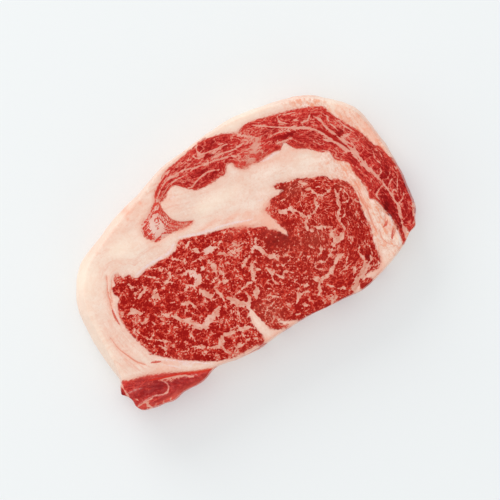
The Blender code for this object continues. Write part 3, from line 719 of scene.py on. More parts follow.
def cut_relief(places, inside_lean, seam):
    """Height in mm: swell of the lean + long, middle and short waves - crease - sunk seams."""
    swell = SWELL * ease(inside_lean, 0, SWELL_REACH)
    crease = CREASE * np.exp(-((inside_lean / CREASE_REACH) ** 2))
    sunk = SINK * np.exp(-((seam[:, 1] / (seam[:, 2] + SINK_REACH)) ** 2)) * ease(inside_lean, 0, 1)
    return swell - crease - sunk + wave_sum(places, FACE_WAVES)


def from_edge(places, loop):
    """Distance to a loop of the ring, measured on every second of its columns."""
    return to_segments(places, loop[::2], np.roll(loop, -2, 0)[::2])[1]


# %% Heights of the upper face
upper_lean, upper_strand = lean_depth[:count], fields["strand_and_crease_shade"][:count, 1]
upper = cut_relief(tissue[:count], upper_lean, fields["seam"][:count]) + bells(face_plan, BROAD_SWELLS)
upper += bells(tissue[:count], FAT_LOBES) * ease(-upper_lean, 0, 1.5)
upper -= STRAND_SINK * np.exp(-((upper_strand / STRAND_REACH) ** 2)) * ease(-upper_lean, 0, 1)
upper -= RIM_DROP * np.exp(-from_edge(face_plan, upper_edge) / RIM_REACH)
upper_height = thickness - TOP_GAP - upper.max() + upper
print("the upper face lies", upper_height.min().round(2), "to", upper_height.max().round(2), "mm up")

# %% [markdown]
# ## The lower face and the band
# The steak rests on its lower face and is pressed flat there, so this face keeps only a part
# of the relief, and its edge lies level. The side is cut by hand: soft waves push it in and
# out, most at half height and not at all at its two edges, where it has to meet the faces.

# %% Lower face
FOOT_LIFT, FOOT_REACH = 0.35, 6
SMOOTHING = 5


def loop_average(loop, reach):
    """Each point of a closed loop averaged with its neighbours up to reach places away."""
    return sum(np.roll(loop, shift, 0) for shift in range(-reach, reach + 1)) / (2 * reach + 1)


foot_edge = loop_average(widest + into * FOOT_INSET, SMOOTHING)
foot_plan = patch(foot_edge).reshape(-1, 2)
under = cut_relief(tissue[-count:], lean_depth[-count:], fields["seam"][-count:])
foot_height = FOOT_LIFT * (under.max() - under) * ease(from_edge(foot_plan, foot_edge), 0, FOOT_REACH)
print("the lower face rises by up to", foot_height.max().round(2), "mm")

# %% Band
SIDE_WAVES = [(0.28, 22, 6), (0.14, 7, 7)]
band = []
for lean_share, tuck, heights in band_levels(upper_height[rim]):
    settle = np.sin(np.pi * np.clip(heights / upper_height[rim], 0, 1)) ** 0.5
    rough = settle * wave_sum(np.column_stack([widest, heights]), SIDE_WAVES)
    side_line = widest + into * (lean_share * slope + tuck + rough)[:, None]
    foot_line = foot_edge + into * rough[:, None]
    near_foot = tuck / FOOT_INSET
    band.append(np.column_stack([side_line * (1 - near_foot) + foot_line * near_foot, heights]))
vertices = np.vstack([np.column_stack([face_plan, upper_height]), *band,
                      np.column_stack([foot_plan, foot_height])])
vertices[:, 2] += low[2] / MM
print("box of the skin:", vertices.min(0).round(2), vertices.max(0).round(2))

# %% [markdown]
# ## Faces and the flat map
# Quads are written as arrays of vertex numbers. The flat map keeps both faces and the band
# at nearly one scale, the band cut in two so that it fits beside them. Unwrapping by seams
# would do as well, but here the places of the grid already are a map.

# %% Faces
start_of_band, start_of_foot = count, count + LEVELS * len(ring)


def grid_faces(start):
    """Anticlockwise quads of a grid of ACROSS by UP spans."""
    corner = (np.arange(UP)[:, None] * (ACROSS + 1) + np.arange(ACROSS)).ravel() + start
    return np.stack([corner, corner + 1, corner + ACROSS + 2, corner + ACROSS + 1], axis=1)


def band_faces():
    """Quads between each loop of the band and the next one down, the rims included."""
    inner = start_of_band + np.arange(LEVELS * len(ring)).reshape(LEVELS, -1)
    loops = np.vstack([rim, inner, rim + start_of_foot])
    upper_loop, lower_loop = loops[:-1], loops[1:]
    quads = [lower_loop, np.roll(lower_loop, -1, 1), np.roll(upper_loop, -1, 1), upper_loop]
    return np.stack([quad.ravel() for quad in quads], axis=1)


faces = np.vstack([grid_faces(0), band_faces(), grid_faces(start_of_foot)[:, ::-1]])
print(len(faces), "quads,", 2 * len(faces), "triangles")

# %% Flat map
MAP_SCALE = 0.75 / 199  # 199 mm take up three quarters of the map
UPPER_CORNER, LOWER_CORNER = (0.005, 0.52), (0.005, 0.02)
STRIP_STARTS, STRIP_SCALE, SIDE_LENGTH = (0.775, 0.9), 0.85, 33
STRIP_FOOT, STRIP_SPAN = 0.01, 0.97


def flat_map():
    """One place in the unit square for each corner of each face: both cut faces as they lie,
    and the band unrolled as two upright strips, length along the ring against way down."""
    from_corner = vertices[:, :2] - vertices[:, :2].min(0)
    upper_map = from_corner[:count] * MAP_SCALE + UPPER_CORNER
    lower_map = from_corner[-count:] * MAP_SCALE + LOWER_CORNER
    around = np.concatenate([[0], np.cumsum(np.hypot(*(np.roll(widest, -1, 0) - widest).T))])
    down = np.linspace(0, SIDE_LENGTH, LEVELS + 2) * MAP_SCALE * STRIP_SCALE
    half = len(ring) // 2
    column = np.tile(np.arange(len(ring)), LEVELS + 1)
    level = np.repeat(np.arange(LEVELS + 1), len(ring))
    first = column < half
    corners = []
    for next_column, next_level in ((0, 1), (1, 1), (1, 0), (0, 0)):
        along = around[column + next_column] - np.where(first, 0, around[half])
        u = np.where(first, *STRIP_STARTS) + down[level + next_level]
        corners.append(np.column_stack([u, STRIP_FOOT + along * STRIP_SPAN / around[half]]))
    quads, band_map = grid_faces(0), np.stack(corners, axis=1)
    return np.vstack([upper_map[quads], band_map, lower_map[quads[:, ::-1]]]).reshape(-1, 2)


# %% The mesh of the skin
skin_mesh = bpy.data.meshes.new("steak_skin")
skin_mesh.from_pydata((vertices * MM).tolist(), [], faces.tolist())
skin_mesh.update()
uv = skin_mesh.uv_layers.new(name="OFBake")
uv.data.foreach_set("uv", flat_map().astype(np.float32).ravel())
skin_mesh.shade_smooth()
skin = bpy.data.objects.new("steak_skin", skin_mesh)
bpy.context.scene.collection.objects.link(skin)
print("mesh is valid:", not skin_mesh.validate(verbose=False))

# %% [markdown]
# ## Tones
# No two places of the meat have quite the same colour. Vertex painting would do this by hand.
# Here each tone is a sum of bell curves (x, y, reach in x, reach in y, amount): darker lean,
# lean that has browned in air, more marbling (or less, where it is negative), pinker fat,
# lighter fat, and edges where lean fades softly into fat. Some pinker and lighter spots are
# painted light: they lighten the left side and the lower edge, which face away from the lamps,
# and paint highlights on the lobes of fat at the right-hand end and on the upper right corner.

# %% Tones of the lean
DARK_SPOTS = [
    (19, -9, 6, 4, 0.5), (20.5, -12.5, 6, 4, 1.5), (14, -5, 4, 3, 0.3), (-58, 6, 9, 5, 0.5),
    (-28, -12, 6, 8, 0.35), (62, -20, 4, 10, 0.6), (38, 10, 9, 4, 0.5), (81, -32, 3, 12, 1.8),
    (92, -10, 5, 9, 0.5), (-97.8, -40, 1.2, 3, 1.4), (90, -34, 4, 6, 0.5), (-84, -45, 10, 3, 0.8),
    (-77, -48, 5, 3, 0.8), (-68, -51, 7, 4, 0.7), (-58, -54, 6, 2, 0.5), (14.5, 53, 6, 1.8, 0.9),
    (15.5, 47.4, 8, 1.2, 0.9), (0, 42.4, 10, 1.6, 0.7), (-3, 50, 8, 2, 0.4), (7.2, 37.8, 4, 1.4, 0.9),
    (-3.4, 37, 3, 1.8, 0.7), (-19, 44.5, 3, 1, 0.5), (46, 42.5, 5, 2, 0.7), (80, 21, 3, 1.5, 1),
    (66, 27, 5, 5, 0.5), (-28, 25.5, 4, 3, 0.4), (55, 34.5, 4, 1.5, 0.8), (91, 8, 2, 8, 0.7),
    (78, 6, 2, 6, 0.4), (58, -42, 2.5, 6, 0.7), (-46, -50, 6, 3, 0.4), (49, -57.2, 3, 1.6, 0.6),
    (80.5, -30, 1.6, 6, 0.7), (89, -12, 4, 7, 0.4), (84, -20, 3, 3, 0.5), (93, -22, 3, 5, 0.5),
    (-85, -39, 6, 1.4, 0.6), (57.5, -46, 2, 2, 0.7),
]
BROWN_SPOTS = [
    (-4, -44, 9, 9, 1), (24, -18, 20, 10, 0.5), (42, 8, 9, 5, 1), (38, -22, 6, 5, 0.8),
    (32, -38, 22, 12, 0.3), (65, -3.5, 4, 2, 0.8), (-9, -38, 3, 2, 0.6),
]
PALE_SPOTS = [
    (-52, -36, 10, 7, -1), (-62, -12, 6, 10, -0.4), (90, -12, 5, 20, -0.4), (36, 43, 3.5, 4.5, 1.8),
    (37, 38.5, 5, 2, 1.6), (29, 39.4, 5, 1.4, 1.2), (29.6, 34, 1.8, 3, 2), (33, 37.5, 5, 1.4, 0.8),
    (36, 35, 6, 3, 1.2), (50, 33.2, 6, 1, 0.5), (24.5, 34.8, 3.5, 2.2, 0.9), (84, 15, 3, 8, 0.7),
    (-36, 29, 8, 9, 3), (-29, 27, 6, 8, 2.8), (-22, 23, 6, 2.5, 2.8), (-31, 37, 6, 4, 2.2),
    (-22, 43.5, 6, 4, 1), (-4, -5, 7, 5, 0.6), (-16, -12, 10, 10, 0.7), (0, -41, 9, 6, 0.7),
    (32, 48, 3, 3, 0.8), (2, 6.5, 7, 2, 0.8), (9, 3.5, 5, 1.6, 0.8), (25, 7.5, 3, 3, 0.8),
    (-92, -41, 5, 5, 0.3), (-77, -40.8, 5, 1.6, 0.8), (-90, -50.6, 3, 1.4, 0.8),
    (-66, -46.8, 6, 1.2, 0.6), (66, 38, 5, 4, 0.4), (-16, 50, 6, 3, 0.5), (12, 46.5, 12, 2, 0.4),
    (-6, 47, 12, 4, 0.6), (2, 51, 10, 2, 0.4), (-22, 47, 5, 3, 0.5),
]
TONES = (DARK_SPOTS, BROWN_SPOTS, PALE_SPOTS)
print(sum(map(len, TONES)), "spots")

# %% Tones of the fat
# Pinker fat. The long spots along the lower edge also paint light there: that edge faces away from the
# lamps, and they make it lighter and more orange.
BLUSH_AND_PAINTED_LIGHT_SPOTS = [
    (-98, -8, 2.5, 24, 0.5), (-72, 19, 2, 2.4, 0.5), (-87, -14, 3, 8, 0.3), (-36, 29, 9, 9, 0.5),
    (-34.8, 44.8, 1, 1, 0.9), (-45.3, 40.7, 1, 1, 0.8), (-44, 43.4, 4, 0.9, 0.7), (25, 7, 4, 3, 0.6),
    (20, -1, 5, 7, 0.8), (6, 5, 9, 3, 0.9), (24, -9, 3, 4, 0.5), (13, 9.4, 3, 1.5, 0.5),
    (-21, 20, 4, 1.5, 0.5), (-8, 15, 8, 1.4, 0.6), (4, 12, 6, 1.6, 0.7), (40, 57, 24, 1.4, 0.1),
    (23, 30, 8, 3, 0.2), (-20, 34, 5, 5, 0.18), (4, 31, 12, 2.2, 0.16), (37, 28, 8, 2.5, 0.34),
    (50, 24, 8, 3, 0.22), (-82, -22, 5, 6, 0.25), (-76, -57.5, 17, 2.6, 1.5), (-92, -53, 5, 3, 0.8),
    (-96.4, -47, 2, 5, 0.6), (72, -8, 5, 16, 0.4), (77, -37, 3, 5, 0.7), (95, 14, 5, 16, 0.75),
    (-70, 38, 22, 5, 0.3), (86, 28, 4, 10, 0.5), (-30, -60, 60, 4, 1), (-28, -58, 16, 2, 0.6),
    (1, -55.8, 4, 1.6, 0.6), (66, -57, 14, 6, 0.6), (-70, -41, 12, 5, 0.5), (-78, 4, 3, 14, 0.4),
    (-36, 43, 13, 4, 0.25), (-20, 37, 5, 4, 0.3), (52, 27, 10, 2, 0.4), (-10, -57, 10, 2, 0.4),
]
# Lighter fat. The spots on the left side near x = -95, on the lower edge near y = -60 and at the upper
# right corner are painted light, and those on the lobes of fat near x = 70 to 80 are painted highlights.
BRIGHT_AND_PAINTED_LIGHT_SPOTS = [
    (-36, 29.5, 6, 7, 0.9), (-29, 29, 3, 8, 0.4), (-28.5, 38.2, 1.5, 1.5, 0.6), (94, 18, 4, 10, 0.4),
    (-28, -60, 16, 2, 0.5), (79, -34, 1.2, 2.6, 0.9), (77.6, -45, 1.6, 4, 0.8), (71, -41, 2, 4, 0.4),
    (72.5, -20, 2, 8, 0.4), (-95, -4, 5, 24, 1.1), (-86, 26, 14, 14, 0.8), (-60, 43, 22, 4, 0.35),
    (45, 56, 40, 3, 0.6), (90, 38, 10, 8, 0.9), (68, -54, 9, 4, 0.5), (4, 24, 14, 5, 0.5),
    (-7, 24.5, 5, 3.5, 0.4), (-60, 30, 5, 4, 0.4), (-54, 28, 10, 8, 0.5), (58, 18, 12, 5, 0.2),
    (-31, -5, 4, 4, 0.9), (-16, 3, 5, 3, 0.6), (-38, -30, 6, 3, 0.4), (-13, -43, 2, 6, 0.3),
    (-13, -36, 3, 4, 0.3), (7, -8, 3, 3, 0.5), (-24, -5, 3, 3, 0.4), (34, -0.6, 4, 2, 0.4),
]
SOFT_SPOTS = [
    (-34, 29, 10, 10, 0.35), (8, 4, 9, 3, 1.6), (31, 34, 11, 4, 2.2), (-18, 21, 6, 2, 1),
    (31, 50, 4, 3, 1.2), (-84, -37.5, 10, 2, 0.8), (-68, -45, 10, 3, 0.6), (84, 16, 4, 8, 0.6),
    (78, -38, 3, 5, 0.8), (66, -50, 10, 6, 0.8), (-27, 42, 3, 3, 0.8), (26, 8, 4, 3, 0.8),
]
FAT_TONES_AND_PAINTED_LIGHT = (BLUSH_AND_PAINTED_LIGHT_SPOTS, BRIGHT_AND_PAINTED_LIGHT_SPOTS, SOFT_SPOTS)
print(sum(map(len, FAT_TONES_AND_PAINTED_LIGHT)), "spots")

# %% [markdown]
# ## What the vertices carry
# An attribute is a value for each vertex that a material reads by name. The grain place has a
# third number that grows with the distance from the muscle's edge. A pattern that is long in
# x and y and short in the third number then runs along that edge, as the streaks of the cap
# do, while the wide end of the eye, where this number grows slowly, keeps round cells.

# %% Attributes
CAP_FLOW, LIP_FLOW, DEPTH_FLOW = 2.2, 1.8, 0.25
FOOT_SPOT = [(-36, 29, 8, 9, 1)]  # at the foot of the cap no streaks run along the edge


def carry(name, values):
    """Stores one number, or three, for each vertex under a name that the material reads."""
    kind, key = ("FLOAT", "value") if values.ndim == 1 else ("FLOAT_VECTOR", "vector")
    stored = skin_mesh.attributes.new(name, kind, "POINT")
    stored.data.foreach_set(key, values.astype(np.float32).ravel())


eye_depth, cap_depth, lip_depth = (muscle_depths[name] for name in ("eye", "cap", "lip"))
eye_flow = eye_depth * (0.3 + 1.2 * ease(tissue[:, 0], 20, 60))
flow = np.where(cap_depth > -3, CAP_FLOW * cap_depth * (1 - bells(tissue, FOOT_SPOT)), eye_flow)
flow = np.where(lip_depth > -2, LIP_FLOW * lip_depth, flow)
side_share = ease(band_depth, 0.2, 2.0)
carry("tissue", np.column_stack([tissue, depth]))
carry("grain", np.column_stack([tissue, flow + DEPTH_FLOW * depth]))
carry("muscle", np.column_stack([lean_depth, eye_depth, cap_depth]))
for name, field in fields.items():
    carry(name, field)
carry("tone", np.column_stack([bells(tissue, table) for table in TONES]))
carry("fat_tone_and_painted_light", np.column_stack([bells(tissue, table) for table in FAT_TONES_AND_PAINTED_LIGHT]))
carry("side", np.concatenate([np.zeros(count), side_share, np.zeros(count)]))
print("attributes:", [attribute.name for attribute in skin_mesh.attributes])

# %% [markdown]
# ## Writing shader maths as expressions
# A node tree is wired by hand in the editor. In a script it reads better as a sum, so one
# small class wraps a socket and adds a node for each operator.


# %% Expressions for nodes
def operator(operation, swapped=False):
    """A method that adds the maths node for one operator, for vectors if either side is one."""

    def method(self, other):
        sides = (other, self) if swapped else (self, other)
        kind = "ShaderNodeMath"
        if any(getattr(side, "is_vector", isinstance(side, tuple)) for side in sides):
            kind = "ShaderNodeVectorMath"
            sides = [side if isinstance(side, (tuple, Flow)) else (side,) * 3 for side in sides]
        return self.finish.node(kind, {"operation": operation}, dict(enumerate(sides)))

    return method


class Flow:
    """The output socket of a node, which can be added, multiplied and so on."""

    __add__, __radd__ = operator("ADD"), operator("ADD", swapped=True)
    __sub__, __rsub__ = operator("SUBTRACT"), operator("SUBTRACT", swapped=True)
    __mul__, __rmul__ = operator("MULTIPLY"), operator("MULTIPLY", swapped=True)
    __truediv__, __rtruediv__ = operator("DIVIDE"), operator("DIVIDE", swapped=True)

    def __init__(self, finish, socket):
        self.finish, self.socket = finish, socket
        self.is_vector = socket.type in ("VECTOR", "RGBA")

    def __abs__(self):
        return self.finish.node("ShaderNodeMath", {"operation": "ABSOLUTE"}, {0: self})


# %% A finish and the nodes it needs
class Finish:
    """A material under construction, with the nodes that finishes here need."""

    def __init__(self, name):
        self.material = bpy.data.materials.new(name)
        self.material.use_nodes = True
        self.tree = self.material.node_tree
        self.shader = self.tree.nodes["Principled BSDF"]

    def node(self, kind, settings, sockets, output=0):
        """Adds a node: its settings first, then a value or a link for each socket."""
        node = self.tree.nodes.new(kind)
        for key, value in settings.items():
            setattr(node, key, value)
        self.plug(node, sockets)
        return Flow(self, node.outputs[output])

    def plug(self, node, sockets):
        """Links each named socket to a flow, or sets it to a constant."""
        for key, value in sockets.items():
            if isinstance(value, Flow):
                self.tree.links.new(value.socket, node.inputs[key])
            else:
                node.inputs[key].default_value = value

    def carried(self, name, output="Vector"):
        return self.node("ShaderNodeAttribute", {"attribute_name": name}, {}, output)

    def parts(self, vector):
        split = self.node("ShaderNodeSeparateXYZ", {}, {0: vector}).socket.node
        return [Flow(self, split.outputs[axis]) for axis in range(3)]

    def joined(self, x, y, z):
        return self.node("ShaderNodeCombineXYZ", {}, {0: x, 1: y, 2: z})

    def noise(self, place, size, detail=2.0, roughness=0.5, output="Fac"):
        """Noise whose swells are about size mm across."""
        return self.node("ShaderNodeTexNoise", {}, {"Vector": place, "Scale": 1 / size, "Detail": detail,
                                                    "Roughness": roughness}, output)

    def sway(self, place, size, width, detail=2.0, output="Fac"):
        """The same noise moved and stretched, so that it lies around 0 and is about width wide."""
        return (self.noise(place, size, detail, output=output) - 0.5) * width

    def cell_edge(self, place, size):
        """Distance in mm to the nearest border between cells about size mm across."""
        return self.node("ShaderNodeTexVoronoi", {"feature": "DISTANCE_TO_EDGE"},
                         {"Vector": place, "Scale": 1 / size}, "Distance") * size

    def cell_middle(self, place, size):
        """Distance to the middle of the nearest cell, in cells, for cells about size mm across."""
        return self.node("ShaderNodeTexVoronoi", {"feature": "F1"},
                         {"Vector": place, "Scale": 1 / size}, "Distance")

    def rise(self, value, start, stop):
        """Smoothstep from 0 at start to 1 at stop. It falls instead when stop is below start."""
        if stop < start:
            return 1 - self.rise(value, stop, start)
        return self.node("ShaderNodeMapRange", {"interpolation_type": "SMOOTHSTEP"},
                         {"Value": value, "From Min": start, "From Max": stop})

    def blend(self, share, below, above):
        """Mix of two colours: share 0 gives below, 1 gives above."""
        return self.node("ShaderNodeMix", {"data_type": "RGBA"}, {0: share, 6: below, 7: above}, 2)

    def coats(self, ground, *layers):
        """Lays colours over a ground, each layer as its share and its colour."""
        for share, colour in layers:
            ground = self.blend(share, ground, colour)
        return ground

    def ripple(self, value, step):
        """Runs up and down between 0 and 1, once for every two steps that the value grows by."""
        return self.node("ShaderNodeMath", {"operation": "PINGPONG"}, {0: value, 1: step}) / step

    def least(self, left, right):
        return self.node("ShaderNodeMath", {"operation": "MINIMUM"}, {0: left, 1: right})

    def either(self, left, right):
        return self.node("ShaderNodeMath", {"operation": "MAXIMUM"}, {0: left, 1: right})


def tint(red, green, blue):
    """Linear colour from the 0 to 255 numbers of a colour picker: ((c / 255 + 0.055) / 1.055)^2.4,
    but c / 3294 for the darkest ones."""
    linear = [((c / 255 + 0.055) / 1.055) ** 2.4 if c > 10 else c / 3294 for c in (red, green, blue)]
    return (*linear, 1.0)


# %% [markdown]
# ## What the finish reads
# Masks tell the muscles apart. The eye is cut across its fibres, and the cap and the lip are
# cut nearly along theirs, which makes them streaky. A stroke's edge is found from both of its
# distances: the one with a side runs straight through zero between two vertices, so a thin
# stroke stays thin, and the plain one ends the stroke at its tip. The methods of the finish
# get short names first, because every line below uses them.

# %% Places and masks
meat = Finish("raw_meat")
rise, least, either, blend, coats = meat.rise, meat.least, meat.either, meat.blend, meat.coats
noise, sway, ripple = meat.noise, meat.sway, meat.ripple
cell_edge, cell_middle = meat.cell_edge, meat.cell_middle
tissue_place = meat.carried("tissue")
grain = meat.carried("grain")
side = meat.carried("side", "Fac")
x_place, y_place, z_place = meat.parts(tissue_place)
lean_in, eye_in, cap_in = meat.parts(meat.carried("muscle"))
dark, brown, pale = meat.parts(meat.carried("tone"))
# The pinker and lighter spots are partly painted light on the side, the edges and the lobes of fat.
blush_and_painted_light, bright_and_painted_light, soft = meat.parts(meat.carried("fat_tone_and_painted_light"))
wide_end = rise(x_place, 14, -20)
round_end = rise(x_place, 24, 50)
fat_end = rise(x_place, 55, 75)
in_eye, in_cap = (rise(depth_in, -1, 0.5) for depth_in in (eye_in, cap_in))
in_lip = (1 - either(in_cap, in_eye)) * rise(x_place, -20, -40)
streaky = either(in_cap, in_lip)

# %% Edges of the strokes
TIP = 0.5


def stroke_edge(name):
    """Distance in mm from the edge of the nearest stroke, negative inside it, and half its width."""
    across, away, half = meat.parts(meat.carried(name))
    return either(abs(across), away - TIP) - half, half


seam_gap, seam_half = stroke_edge("seam")
strand_and_crease_shade_gap, silverskin_and_glint_gap, red_gap = (stroke_edge(name)[0] for name in ("strand_and_crease_shade", "silverskin_and_glint", "red_streak"))
print(len(meat.tree.nodes), "nodes read the vertices")

# %% [markdown]
# ## Fibres, bundles and veins
# Muscle fibres are tied into bundles, and fat lies between the bundles in a net of veins, in
# islands where veins meet, and as flecks and curls inside them. Cells of several sizes give
# the bundles. Their places are bent by noise first, which turns straight borders into the
# crooked ones of meat. A single noise would give the share of fat, but not its net.

# %% Cells and noises
BUNDLE, LUMP, BAND_CELL, FIBRE, DOT = 5.0, 3.4, 9.0, 1.7, 1.5
bend = sway(grain, 2.6, 2.2, 1.0, "Color")
crinkle = sway(grain, 0.8, 0.7, 1.0, "Color")
patchy = noise(tissue_place, 8.0, 3.0)
fine_noise = noise(grain, 0.8, 1.0)
speck = noise(grain, 0.55, 0.0) - 0.5
islets = noise(grain + bend * 0.5, 2.8, 1.0)
streaks = noise((grain + bend * 0.6) * (0.3, 0.3, 1.0), 1.1, 1.0)
long_streaks = noise((grain + bend * 0.8) * (0.2, 0.2, 1.0), 2.0, 2.0, 0.6)
fibre = cell_middle(grain + bend + crinkle * 0.5, FIBRE)
lump_place = grain + bend * 1.2
lump = cell_middle(lump_place, LUMP)
web = rise(cell_edge(lump_place, LUMP), 0.6, 0.0)
bundle_place = grain + bend * 0.9 + crinkle
bundle = cell_middle(bundle_place, BUNDLE)
bundle_line = rise(cell_edge(bundle_place, BUNDLE), 0.75, 0.1)
band_line = rise(cell_edge(grain + bend * 2.2, BAND_CELL), 0.7, 0.0)
dots = rise(cell_middle(grain + bend * 0.3, DOT), 0.34, 0.16)
curl = (rise(abs(noise(grain + bend * 0.5, 1.6, 0.0) - 0.5), 0.08, 0.01)
        * rise(streaks, 0.3, 0.5))
wavy_line = (rise(ripple(eye_in + sway(tissue_place, 4.0, 6), 0.7), 0.55, 0.95)
             * rise(patchy, 0.35, 0.5))

# %% Ragged edges of the seams and the lean streaks
seam_edge = ((fine_noise - 0.5) * 0.5 + (0.55 - lump) * (0.5 + seam_half * 1.1)
             + (0.57 - fibre) * (1 - streaky)) * least(seam_half * 1.1 + 0.15, 1.0)
seam_fat = rise(seam_gap + seam_edge, 0.3, -0.4) * least(seam_half * 0.45 + 0.6, 1.0)
red_line = rise(red_gap + (fine_noise - 0.5), 0.4, -0.35)

# %% How fatty each place is
crossed = (fibre * 0.6 - 0.05 + dots * 0.46 * (1 - round_end * 0.6) + curl * 0.36
           + wavy_line * round_end * 0.3 + (bundle - 0.5) * 0.12 + (streaks - 0.5) * 0.2
           + bundle_line * rise(patchy, 0.35, 0.55) * (0.25 + 0.03 * wide_end)
           + rise(bundle, 0.56, 0.8) * rise(patchy, 0.3, 0.5) * (0.13 + 0.05 * wide_end)
           + rise(islets, 0.56, 0.74) * (0.10 + 0.14 * wide_end))
lengthwise = (fibre * 0.5 + band_line * 0.35 + web * rise(patchy, 0.45, 0.65) * 0.25 + curl * 0.15
              + (long_streaks - 0.5) * 0.5 + (streaks - 0.5) * 0.3 + (lump - 0.45) * 0.2
              + speck * 0.35 + 0.15) * (1 - in_lip * 0.45) + in_lip * 0.16
fatness = (crossed * (1 - streaky) + lengthwise * streaky + (patchy - 0.5) * 0.3 + speck * 0.3
           + seam_fat * (0.78 + 0.12 * streaky) + pale * 0.24 - dark * 0.18)
clean_lean = 0.14 + 0.5 * least(soft, 1.0)
fatness = fatness + (clean_lean - fatness) * red_line * (0.6 + 0.3 * least(blush_and_painted_light, 1.0))
print(len(meat.tree.nodes), "nodes so far")

# %% [markdown]
# ## Colours of the marbled meat
# One number, the fatness, picks the colour: deep red, lighter red, pink where fine fat and
# lean mix, and cream in the veins. A colour ramp could do the same, but each step here also
# takes a tone of its own, so they are laid over each other as coats.

# %% Lean
light_share = rise(fatness, 0.26, 0.62)
round_lean = blend(light_share, tint(156, 13, 9), tint(208, 56, 40))
streaky_lean = blend(light_share, tint(160, 16, 18), tint(216, 62, 53))
dark_lean = blend(in_lip, tint(112, 10, 10), tint(132, 26, 32))
lip_cloud = rise(noise(grain + bend, 3.0, 3.0, 0.7), 0.42, 0.62)
near_edge = rise(lean_in + (streaks - 0.5) * 2, 2.0, 0.0) * streaky
lean_colour = coats(
    round_lean, (streaky, streaky_lean),
    (in_lip * (0.1 + 0.4 * lip_cloud), tint(206, 88, 84)),
    (blush_and_painted_light * 0.5, tint(222, 96, 80)),
    (near_edge * 0.5, tint(222, 78, 58)),
    (rise(noise(tissue_place, 5.0), 0.35, 0.65) * 0.22, tint(150, 26, 20)),
    (dark * (rise(lump, 0.75, 0.3) * 0.8 + 0.25) * 0.55, dark_lean),
    (brown * 0.45, tint(166, 66, 50)))

# %% Fine fat and veins
vein_colour = coats(
    blend(rise(islets, 0.35, 0.65), tint(221, 152, 131), tint(231, 176, 156)),
    (streaky * 0.5, tint(226, 150, 134)), (bright_and_painted_light, tint(240, 204, 190)))
meat_colour = coats(
    lean_colour, (rise(fatness, 0.61, 0.85) * 0.85, tint(220, 122, 103)),
    (rise(fatness, 0.84, 1.10), vein_colour))
print(len(meat.tree.nodes), "nodes so far")

# %% [markdown]
# ## Fat
# Fat is cream, with pinker and paler clouds, faint layers that follow the eye muscle, a fine
# grain, and streaks and painted shade of folds at the right-hand end, where it is loose. Close
# to lean it turns pink, and red strands run through it with a soft glow on both sides. Lighter
# and pinker spots paint light on the side and the edges, the lightest specks of grain and the
# spots on the lobes are partly painted highlights, and the strokes at the right-hand end paint
# the shade of creases between lobes. Close to lean it
# turns pink, and red strands run through it with a soft glow on both sides.

# %% Clouds, streaks and grain
cloud = noise(tissue_place, 16.0, 3.0)
small_cloud = noise(tissue_place, 6.0, 3.0, 0.6)
slant = noise(meat.joined(x_place * 0.35, y_place * 1.6 + x_place * 0.5, z_place), 4.0, 3.0)
layer_place = meat.joined(x_place * 0.1, y_place * 0.1, eye_in * 0.7 + z_place * 0.3) + bend * 0.1
layers = rise(noise(layer_place, 1.5, 3.0, 0.6), 0.5, 0.75)
close_to_lean = rise(lean_in + (cloud - 0.5) * 6, -3.5, 0.0)
fat_grain = noise(tissue_place + bend, 1.4, 2.0, 0.8)
end_streak = noise(tissue_place * (1.0, 0.35, 0.35) + bend * 0.5, 2.0, 3.0, 0.7)
# Darker lines where the loose fat folds: painted shade.
fold_shade = rise(ripple(noise(tissue_place + bend, 6.0), 0.09), 0.75, 1.0)
fat_colour = coats(
    blend(rise(cloud, 0.3, 0.7), tint(240, 206, 188), tint(245, 222, 206)),
    (rise(small_cloud, 0.5, 0.72) * 0.45, tint(238, 194, 172)),
    (rise(small_cloud, 0.48, 0.3) * 0.4, tint(251, 228, 214)),
    (rise(slant, 0.5, 0.8) * 0.5, tint(240, 190, 168)),
    (rise(slant, 0.45, 0.2) * 0.4, tint(249, 230, 216)),
    (layers * (0.15 + 0.45 * wide_end + 0.4 * blush_and_painted_light), tint(236, 168, 146)),
    (close_to_lean * (0.3 + 0.2 * soft), tint(228, 146, 122)),
    (rise(fat_grain, 0.5, 0.7) * (0.26 + 0.5 * fat_end + 0.3 * blush_and_painted_light), tint(232, 160, 132)),
    (rise(fine_noise, 0.5, 0.7) * (0.08 + 0.4 * fat_end), tint(234, 158, 134)),
    (rise(fine_noise, 0.45, 0.3) * fat_end * 0.35, tint(250, 222, 206)),
    (rise(end_streak, 0.5, 0.6) * fat_end * 0.85, tint(240, 152, 118)),
    (rise(end_streak, 0.46, 0.36) * fat_end * 0.85, tint(255, 228, 214)),
    (fold_shade * (0.06 + 0.3 * fat_end), tint(224, 150, 122)),
    # The lightest specks of the grain are partly paler fat and partly painted highlights of the wet
    # surface.
    (rise(fat_grain, 0.45, 0.3) * 0.3, tint(253, 236, 224)))

# %% Tones, lean streaks and strands in the fat
# Here the lighter and pinker spots partly paint light, and at the right-hand end the strokes of strands
# paint the shade of creases.
seep = rise(lean_in + (streaks - 0.5) * 2, -2.4, 0.0) * soft
strand_and_crease_shade_halo = rise(strand_and_crease_shade_gap + (fine_noise - 0.5) * 1.2, 1.4, -0.4)
strand_and_crease_shade_core = rise(strand_and_crease_shade_gap + (fine_noise - 0.5) * 0.6, 0.3, -0.3)
fat_colour = coats(
    fat_colour, (bright_and_painted_light * 0.85, tint(255, 236, 215)), (blush_and_painted_light * 0.75, tint(243, 166, 139)),
    (seep * 0.3, tint(222, 118, 96)), (red_line * 0.85, tint(206, 58, 34)),
    (strand_and_crease_shade_halo * 0.3, tint(240, 158, 134)), (strand_and_crease_shade_core * 0.6, tint(226, 112, 80)))
print(len(meat.tree.nodes), "nodes so far")

